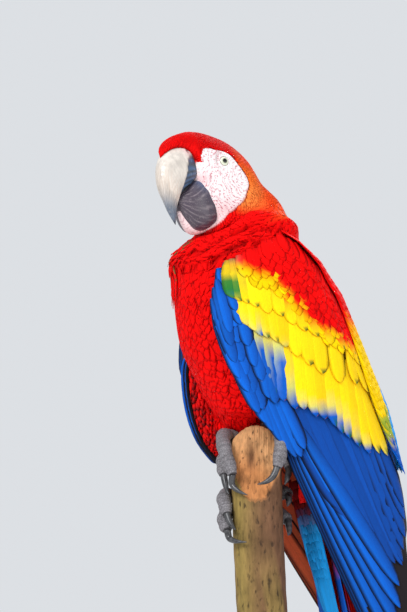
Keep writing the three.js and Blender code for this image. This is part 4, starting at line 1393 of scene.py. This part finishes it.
tailSurface = Surface(tailOutline, -1.0, (6.0, 3.0))
tailVane = vaneTemplate(4, [0, .06, .14, .25, .38, .5, .6, .7, .78, .85, .9, .94, .97, .99, 1],
                        [.4, .5, .6, .72, .84, .94, 1, .95, .87, .77, .62, .45, .28, .15, .04])


def tailPart():
    root, tip, level, pair = [], [], [], []
    for number, factor in enumerate(tail["pairs"]):
        for sign in (1, -1):
            for ends, along in ((root, 1.5), (tip, tail["length"] * factor)):
                ends.append((along, sign * (3 + 2.3 * number + 0.012 * number * along)))
            level.append((5.5 - 2 * number - (sign < 0)) * tail["step"])
            pair.append(number)
    pair = np.array(pair)[:, None, None]
    fleck = varied(len(pair), 0.05)

    def tint(p, q, s, t):
        blueTip = smooth(0.86 - 0.11 * pair, 0.91 - 0.11 * pair, s + 0.05 * np.abs(t))
        rim = smooth(0.7, 1.0, np.abs(t)) * (0.25 + 0.1 * pair)
        colour = dye(hue["red"] * 0.9, hue["blue"], blueTip)
        return dye(colour, dye(hue["deepRed"], hue["blue"], blueTip), rim) * fleck
    return layVanes(tailSurface, tailVane, root, tip, tint, width=25.0, base=level, rise=0.0, thick=1.1,
                    cup=0.4, islands=(4, 3, 0))


makePiece("tail_feathers", [tailPart()], flightPaint,
          [f"tail_feather_{side}_{k}" for side in ("left", "right") for k in range(1, 7)])


def tailCovertPart(face):
    # rows of narrow coverts over (+1) or under (-1) the tail's root
    root = staggered(np.arange(-18, 78, 8.0), np.arange(-24, 24.1, 6.0), 3, 1,
                     lambda along: graph([(-20, 1.0), (40, 0.8), (80, 0.5)], along))
    count = len(root)
    tip = root + pack(44.0, -root[:, 1] * 0.25)
    fleck = varied(count, 0.08)
    base = hue["sky"] * (1 - 0.25 * rng.random((count, 1, 1, 1)))
    # painted shade: the under coverts darken to a deep red near the body, where they lie in its shade
    if face < 0:
        base = blend(hue["deepRed"] * 0.4, base, smooth(2, 26, root[:, 0])[:, None, None, None])
    tint = lambda p, q, s, t: base * fleck * rootShade(s, 0.85, 0.4)
    high = face * (9.8 + graph([(-20, 7.2), (0, 7.2), (60, 5.0), (80, 4.0)], root[:, 0]))
    return layVanes(tailSurface, bodyVane, root, tip, tint, width=13.0, base=high, rise=-face * 3.0,
                    thick=0.3, unwrap=lambda p, q: pack(0.1 + (p + 20) / 200, 0.5 + face * 0.2 + q / 200))


makePiece("tail_coverts", [tailCovertPart(1), tailCovertPart(-1)], plumagePaint,
          ["tail_coverts_upper", "tail_coverts_lower"])
print("tail done")


# feet

perch = {"place": np.array([24, -11.5]), "top": 600.0, "length": 280.0, "radius": 22.0,
         "toward": math.radians(-24), "steep": math.radians(22.4)}
toeRadius = 5.6
hug = perch["radius"] + toeRadius + 0.8


def perchBend(z):
    return graph([(0, 1), (60, 4.5), (120, 6), (190, 2), (280, 0)], z - perch["top"] + perch["length"])


def onPerch(stop, radius):
    # stop is (degrees round the branch, height) and sometimes its own distance from the middle
    degrees, z, radius = (*stop, radius)[:3]
    x, y = perch["place"]
    return [x + radius * math.cos(math.radians(degrees)),
            y + perchBend(z) + radius * math.sin(math.radians(degrees)), z]


legs = {
    "left": {"tarsus": [[11, 22, 604], [4, 15, 600], [-2, 6, 595], [-5, -2, 590], [-4, -8, 584]],
             "inner": ([[-158, 591], [-136, 592], [-114, 588], [-94, 579], [-78, 566], [-67, 555]],
                       [[-71, 547], [-58, 541], [-39, 537]]),
             "middle": ([[-162, 579], [-142, 577], [-124, 571], [-113, 563], [-105, 556]],
                        [[-100, 549], [-95, 543], [-88, 539]]),
             "outer": ([[140, 600, 26], [112, 606, 25], [86, 608, 24], [62, 605, 24], [42, 598, 25],
                        [31, 589, 27], [25, 579, 29.5], [21, 569, 30], [16, 561, 29.5]],
                       [[8, 553, 29], [-5, 548, 28], [-20, 546, 26.5]]),
             "hind": ([[152, 581], [126, 581], [98, 577], [78, 569], [67, 562]],
                      [[59, 556], [52, 551], [46, 547]])},
    "right": {"tarsus": [[-27, 8, 574], [-21, 5, 563], [-13, 1, 551], [-6, -3, 541], [-4, -7, 533]],
              "inner": ([[-158, 540], [-136, 540], [-114, 537], [-98, 530], [-88, 522]],
                        [[-82, 516], [-75, 511], [-68, 508]]),
              "middle": ([[-160, 527], [-137, 525], [-115, 520], [-98, 513], [-88, 508]],
                         [[-84, 501], [-66, 498], [-44, 497]]),
              "outer": ([[152, 541], [128, 543], [104, 543], [86, 540]], [[76, 536], [68, 532], [61, 529]]),
              "hind": ([[154, 527], [130, 525], [108, 522], [92, 518]], [[82, 512], [71, 507], [59, 504]])}}


def toeShape(share):
    # bulging joints, cross ridges like scutes, and a soft tip
    joints = 0.07 * np.cos(share * 2 * np.pi * 3.5)
    scutes = 0.035 * np.abs(np.sin(share * np.pi * 16)) ** 0.5
    return 1 + joints + scutes - 0.03


def footTint(share):
    groove = 1 - np.abs(np.sin(share * np.pi * 16)) ** 0.4
    return np.array((0.15, 0.14, 0.15)) * (1 - 0.55 * groove[..., None])


def footPaint():
    paint = Paint("foot_scales", Roughness=0.62, Specular_IOR_Level=0.35)
    place = paint.place()
    cells = paint.node("ShaderNodeTexVoronoi", {"feature": "DISTANCE_TO_EDGE"},
                       {"Vector": place, "Scale": 480.0})
    seam = paint.between(cells, 0.0, 0.12)
    dust = paint.noise(place, 130.0, 3.0)
    shade = paint.between(seam * 0.5 + dust * 0.6, 0.25, 0.85, 0.5, 1.5)
    paint.feed("Base Color", paint.shaded(paint.attribute("tint"), shade))
    paint.bump(seam * 0.7 + dust * 0.3, 0.6, 0.4)
    return paint.material


def clawPaint():
    paint = Paint("claw_horn", Specular_IOR_Level=0.5)
    place = paint.place()
    grain = paint.noise(place, 260.0, 3.0)
    paint.feed("Base Color", paint.node("ShaderNodeValToRGB", {"stops": [
        (0.3, (0.012, 0.012, 0.014)), (0.7, (0.075, 0.075, 0.08))]}, {0: grain}))
    paint.feed("Roughness", paint.between(grain, 0.3, 0.7, 0.26, 0.44))
    paint.bump(grain, 0.3, 0.2)
    return paint.material


toes, claws, footNodes, clawNodes = [], [], [], []


def addToe(stops, radii, rows):  # each toe and tarsus has its own strip of the uv square
    strip = (0.02 + 0.095 * len(toes), 0.02, 0.09, 0.96)
    toes.append(tubePart(stops, radii, rows, 20, strip, toeShape, footTint))


for side, leg in legs.items():
    addToe(leg["tarsus"], [6.2, 5.8, 5.6, 6.2, 5.2], 40)
    footNodes.append(f"tarsus_{side}")
    for name in ("inner", "middle", "outer", "hind"):
        stops, claw = leg[name]
        addToe([onPerch(stop, hug) for stop in stops],
               [toeRadius + 0.9 - 0.12 * k for k in range(len(stops) - 1)] + [4.2], 70)
        nail = [onPerch(stop, hug - 0.8 * k) for k, stop in enumerate([stops[-1], *claw])]
        claws.append(tubePart(nail, [3, 2.8, 1.9, 0.35], 26, 14, (0.02 + 0.12 * len(claws), 0.02, 0.1, 0.96)))
        footNodes.append(f"toe_{side}_{name}")
        clawNodes.append(f"claw_{side}_{name}")
makePiece("feet", toes, footPaint(), footNodes)
makePiece("claws", claws, clawPaint(), clawNodes)
print("feet done")


# perch: bark column with a slanted broken end


def barkPaint():
    paint = Paint("bark", Roughness=0.85, Specular_IOR_Level=0.2)
    place = paint.place()
    furrow = paint.noise(paint.stretched(place, (260.0, 260.0, 55.0)), 1.0, 5.0, 0.65)
    patch = paint.noise(place, 45.0, 3.0)
    pit = paint.between(paint.noise(paint.stretched(place, (330.0, 330.0, 120.0)), 1.0, 2.0), 0.60, 0.72)
    shade = paint.between(furrow * 0.6 + patch * 0.5, 0.32, 0.78, 0.45, 1.65)
    colour = paint.shaded(paint.attribute("tint"), shade)
    paint.feed("Base Color", paint.mix(pit * 0.7, colour, (0.02, 0.013, 0.01)))
    paint.bump(furrow * 0.8 - pit * 0.6, 0.8, 1.2)
    return paint.material


def perchRadius(z, angle):  # of the column, with its furrows and one knot
    rough = (0.5 * np.sin(3 * angle + z / 31) + 0.35 * np.sin(7 * angle - z / 17) * np.sin(z / 11)
             + 0.25 * np.sin(17 * angle + 4 * np.sin(z / 23)) + 0.2 * np.sin(z / 3.1 + 5 * np.sin(angle * 4)))
    knot = 2.4 * bell(np.hypot((z - 425) / 13, (angle - math.radians(330)) * 22 / 12), 1.0)
    return perch["radius"] + 0.5 * rough + knot - 0.3


def onBreak(x, y):  # how far a place lies down the slope of the broken end, and to its side
    c, s = math.cos(perch["toward"]), math.sin(perch["toward"])
    return x * c + y * s, -x * s + y * c


def breakHeight(x, y):  # a slope with fibres along it and a dent round its knot
    out, side = onBreak(x, y)
    fall = perch["top"] - np.maximum(out + 6, 0) / math.tan(perch["steep"]) - 0.03 * side ** 2
    fibres = 0.7 * np.sin(side * 1.3 + 1.2 * np.sin(out * 0.5)) + 0.45 * np.sin(side * 3.1)
    return fall + fibres * smooth(-8, -3, out) + -1.8 * bell(np.hypot((out - 5) * 0.8, side + 4), 3.6)


def perchSolid():
    # rings up to the rim where the column meets the slope; a grid over the slope closes it
    count, rows, inner = 150, 200, 40
    low = perch["top"] - perch["length"]
    angle = circle(count)
    c, s = np.cos(angle), np.sin(angle)
    rim = perchRadius(np.full(count, perch["top"]), angle)
    z = low + (breakHeight(rim * c, rim * s) - low)[None] * np.linspace(0, 1, rows)[:, None]
    radius = perchRadius(z, angle)
    fill = np.linspace(1, 0.02, inner)[1:, None]
    x, y = fill * radius[-1] * c, fill * radius[-1] * s
    points = np.concatenate([pack(radius * c, radius * s, z), pack(x, y, breakHeight(x, y))])
    # share of bare wood: on the slope and at its rim, not where bark has curled over its sides
    wooden = np.repeat([0, 0.5, 1], [rows - 2, 2, inner - 1])[:, None]
    out, side = onBreak(points[..., 0], points[..., 1])
    wooden = wooden * fade(0, 2.5, np.abs(side) - (21 - 0.85 * np.maximum(out - 4, 0)))
    points[..., 1] += perchBend(points[..., 2])
    points[..., :2] += perch["place"]
    z = points[..., 2]
    bark, moss, wood = (np.array(c) for c in ((0.125, 0.06, 0.032), (0.26, 0.19, 0.05), (0.58, 0.30, 0.13)))
    mossy = 0.75 * np.maximum(bell(np.sin((angle - math.radians(285)) / 2), 0.35),
                              0.8 * smooth(0.3, 0.9, np.sin(angle * 2 + z / 60)) * smooth(520, 420, z))
    wood = dye(wood, (0.36, 0.125, 0.035), 0.75 * smooth(0, 13, out - 0.25 * side))
    wood = dye(wood, (0.10, 0.04, 0.018), 0.9 * bell(np.hypot((out - 5) * 0.8, side + 4), 4.0))
    return gridPart(shutEnds(points), tint=ended(dye(dye(bark, moss, mossy), wood, wooden)))


makePiece("perch_branch", [perchSolid()], barkPaint(), ["perch"])


# stand


def turnedPart(profile, middle, columns):
    # profile of (radius, height) carried round a vertical axis
    radius, high = np.array(profile, float).T[..., None]
    angle = circle(columns)
    return gridPart(pack(radius * np.cos(angle) + middle[0], radius * np.sin(angle) + middle[1], high))


def standPaint(name, colour, metal, rough, grain):
    paint = Paint(name, Metallic=metal)
    place = paint.place()
    cloud = paint.noise(paint.stretched(place, grain), 1.0, 3.0)
    shade = paint.between(cloud, 0.3, 0.7, 0.85, 1.15)
    paint.feed("Base Color", paint.shaded(colour, shade))
    paint.feed("Roughness", paint.between(cloud, 0.3, 0.7, rough - 0.06, rough + 0.08))
    paint.bump(cloud, 0.15, 0.1)
    return paint.material


base = {"radius": 155.0, "thick": 18.0, "round": 3.0}
bend = np.radians(np.linspace(0, 90, 8))
rimProfile = [(base["radius"] - base["round"] * (1 - math.cos(a)),
               base["thick"] - base["round"] * (1 - math.sin(a))) for a in bend]
baseProfile = [(0.01, 0), (base["radius"] - 1, 0), (base["radius"], 1), *rimProfile,
               (28, base["thick"]), (0.01, base["thick"])]
makePiece("stand_plate", [turnedPart(baseProfile, (0, 0), 128)],
          standPaint("painted_board", (0.022, 0.022, 0.024), 0.0, 0.5, (60.0, 60.0, 60.0)),
          ["stand_base"])
rodTop = perch["top"] - perch["length"] - 0.3
rodProfile = [(0.01, 18.3), (15.5, 18.3), (16, 19), (16, 23), (15.2, 24.2), (8.6, 25.2), (8, 26.5),
              (8, rodTop), (0.01, rodTop)]
makePiece("stand_post", [turnedPart(rodProfile, perch["place"], 64)],
          standPaint("satin_steel", (0.52, 0.53, 0.55), 1.0, 0.34, (500.0, 500.0, 12.0)),
          ["stand_rod"])
print("stand done")


# floor, light and camera


def aimed(name, data, place, target):
    thing = linked(name, data)
    thing.location = place
    thing.rotation_euler = (Vector(target) - Vector(place)).to_track_quat("-Z", "Y").to_euler()
    return thing


def stageAndCamera():
    scene = bpy.context.scene
    floorMesh = bpy.data.meshes.new("floor")
    floorMesh.from_pydata([(-30, -30, 0), (30, -30, 0), (30, 30, 0), (-30, 30, 0)], [], [(0, 1, 2, 3)])
    floorMesh.materials.append(Paint("pale_floor", Roughness=0.9, Base_Color=(0.78, 0.78, 0.77, 1)).material)
    floor = linked("floor", floorMesh)
    scene.world = bpy.data.worlds.new("studio")
    scene.world.use_nodes = True
    background = scene.world.node_tree.nodes["Background"].inputs
    background["Color"].default_value = (0.90, 0.93, 0.97, 1)
    background["Strength"].default_value = 0.8
    lamps = {"key": ((2.2, -2.6, 2.9), 1.2, 120), "fill": ((3.2, 1.6, 1.2), 1.8, 30),
             "rim": ((-1.8, 1.8, 2.2), 1.2, 40)}
    for name, (place, size, power) in lamps.items():
        light = bpy.data.lights.new(name, "AREA")
        light.size, light.energy = size, power
        aimed(name, light, place, (0, 0, 0.65)).visible_camera = False
    scene.view_settings.view_transform = "Standard"  # keeps the plumage's full colour
    lens = bpy.data.cameras.new("view")
    lens.sensor_width, lens.lens, lens.clip_end = 36, 202.8, 100
    scene.camera = aimed("view", lens, (2.7916, -1.0665, 0.2872), (0, -0.0504, 0.7047))


stageAndCamera()
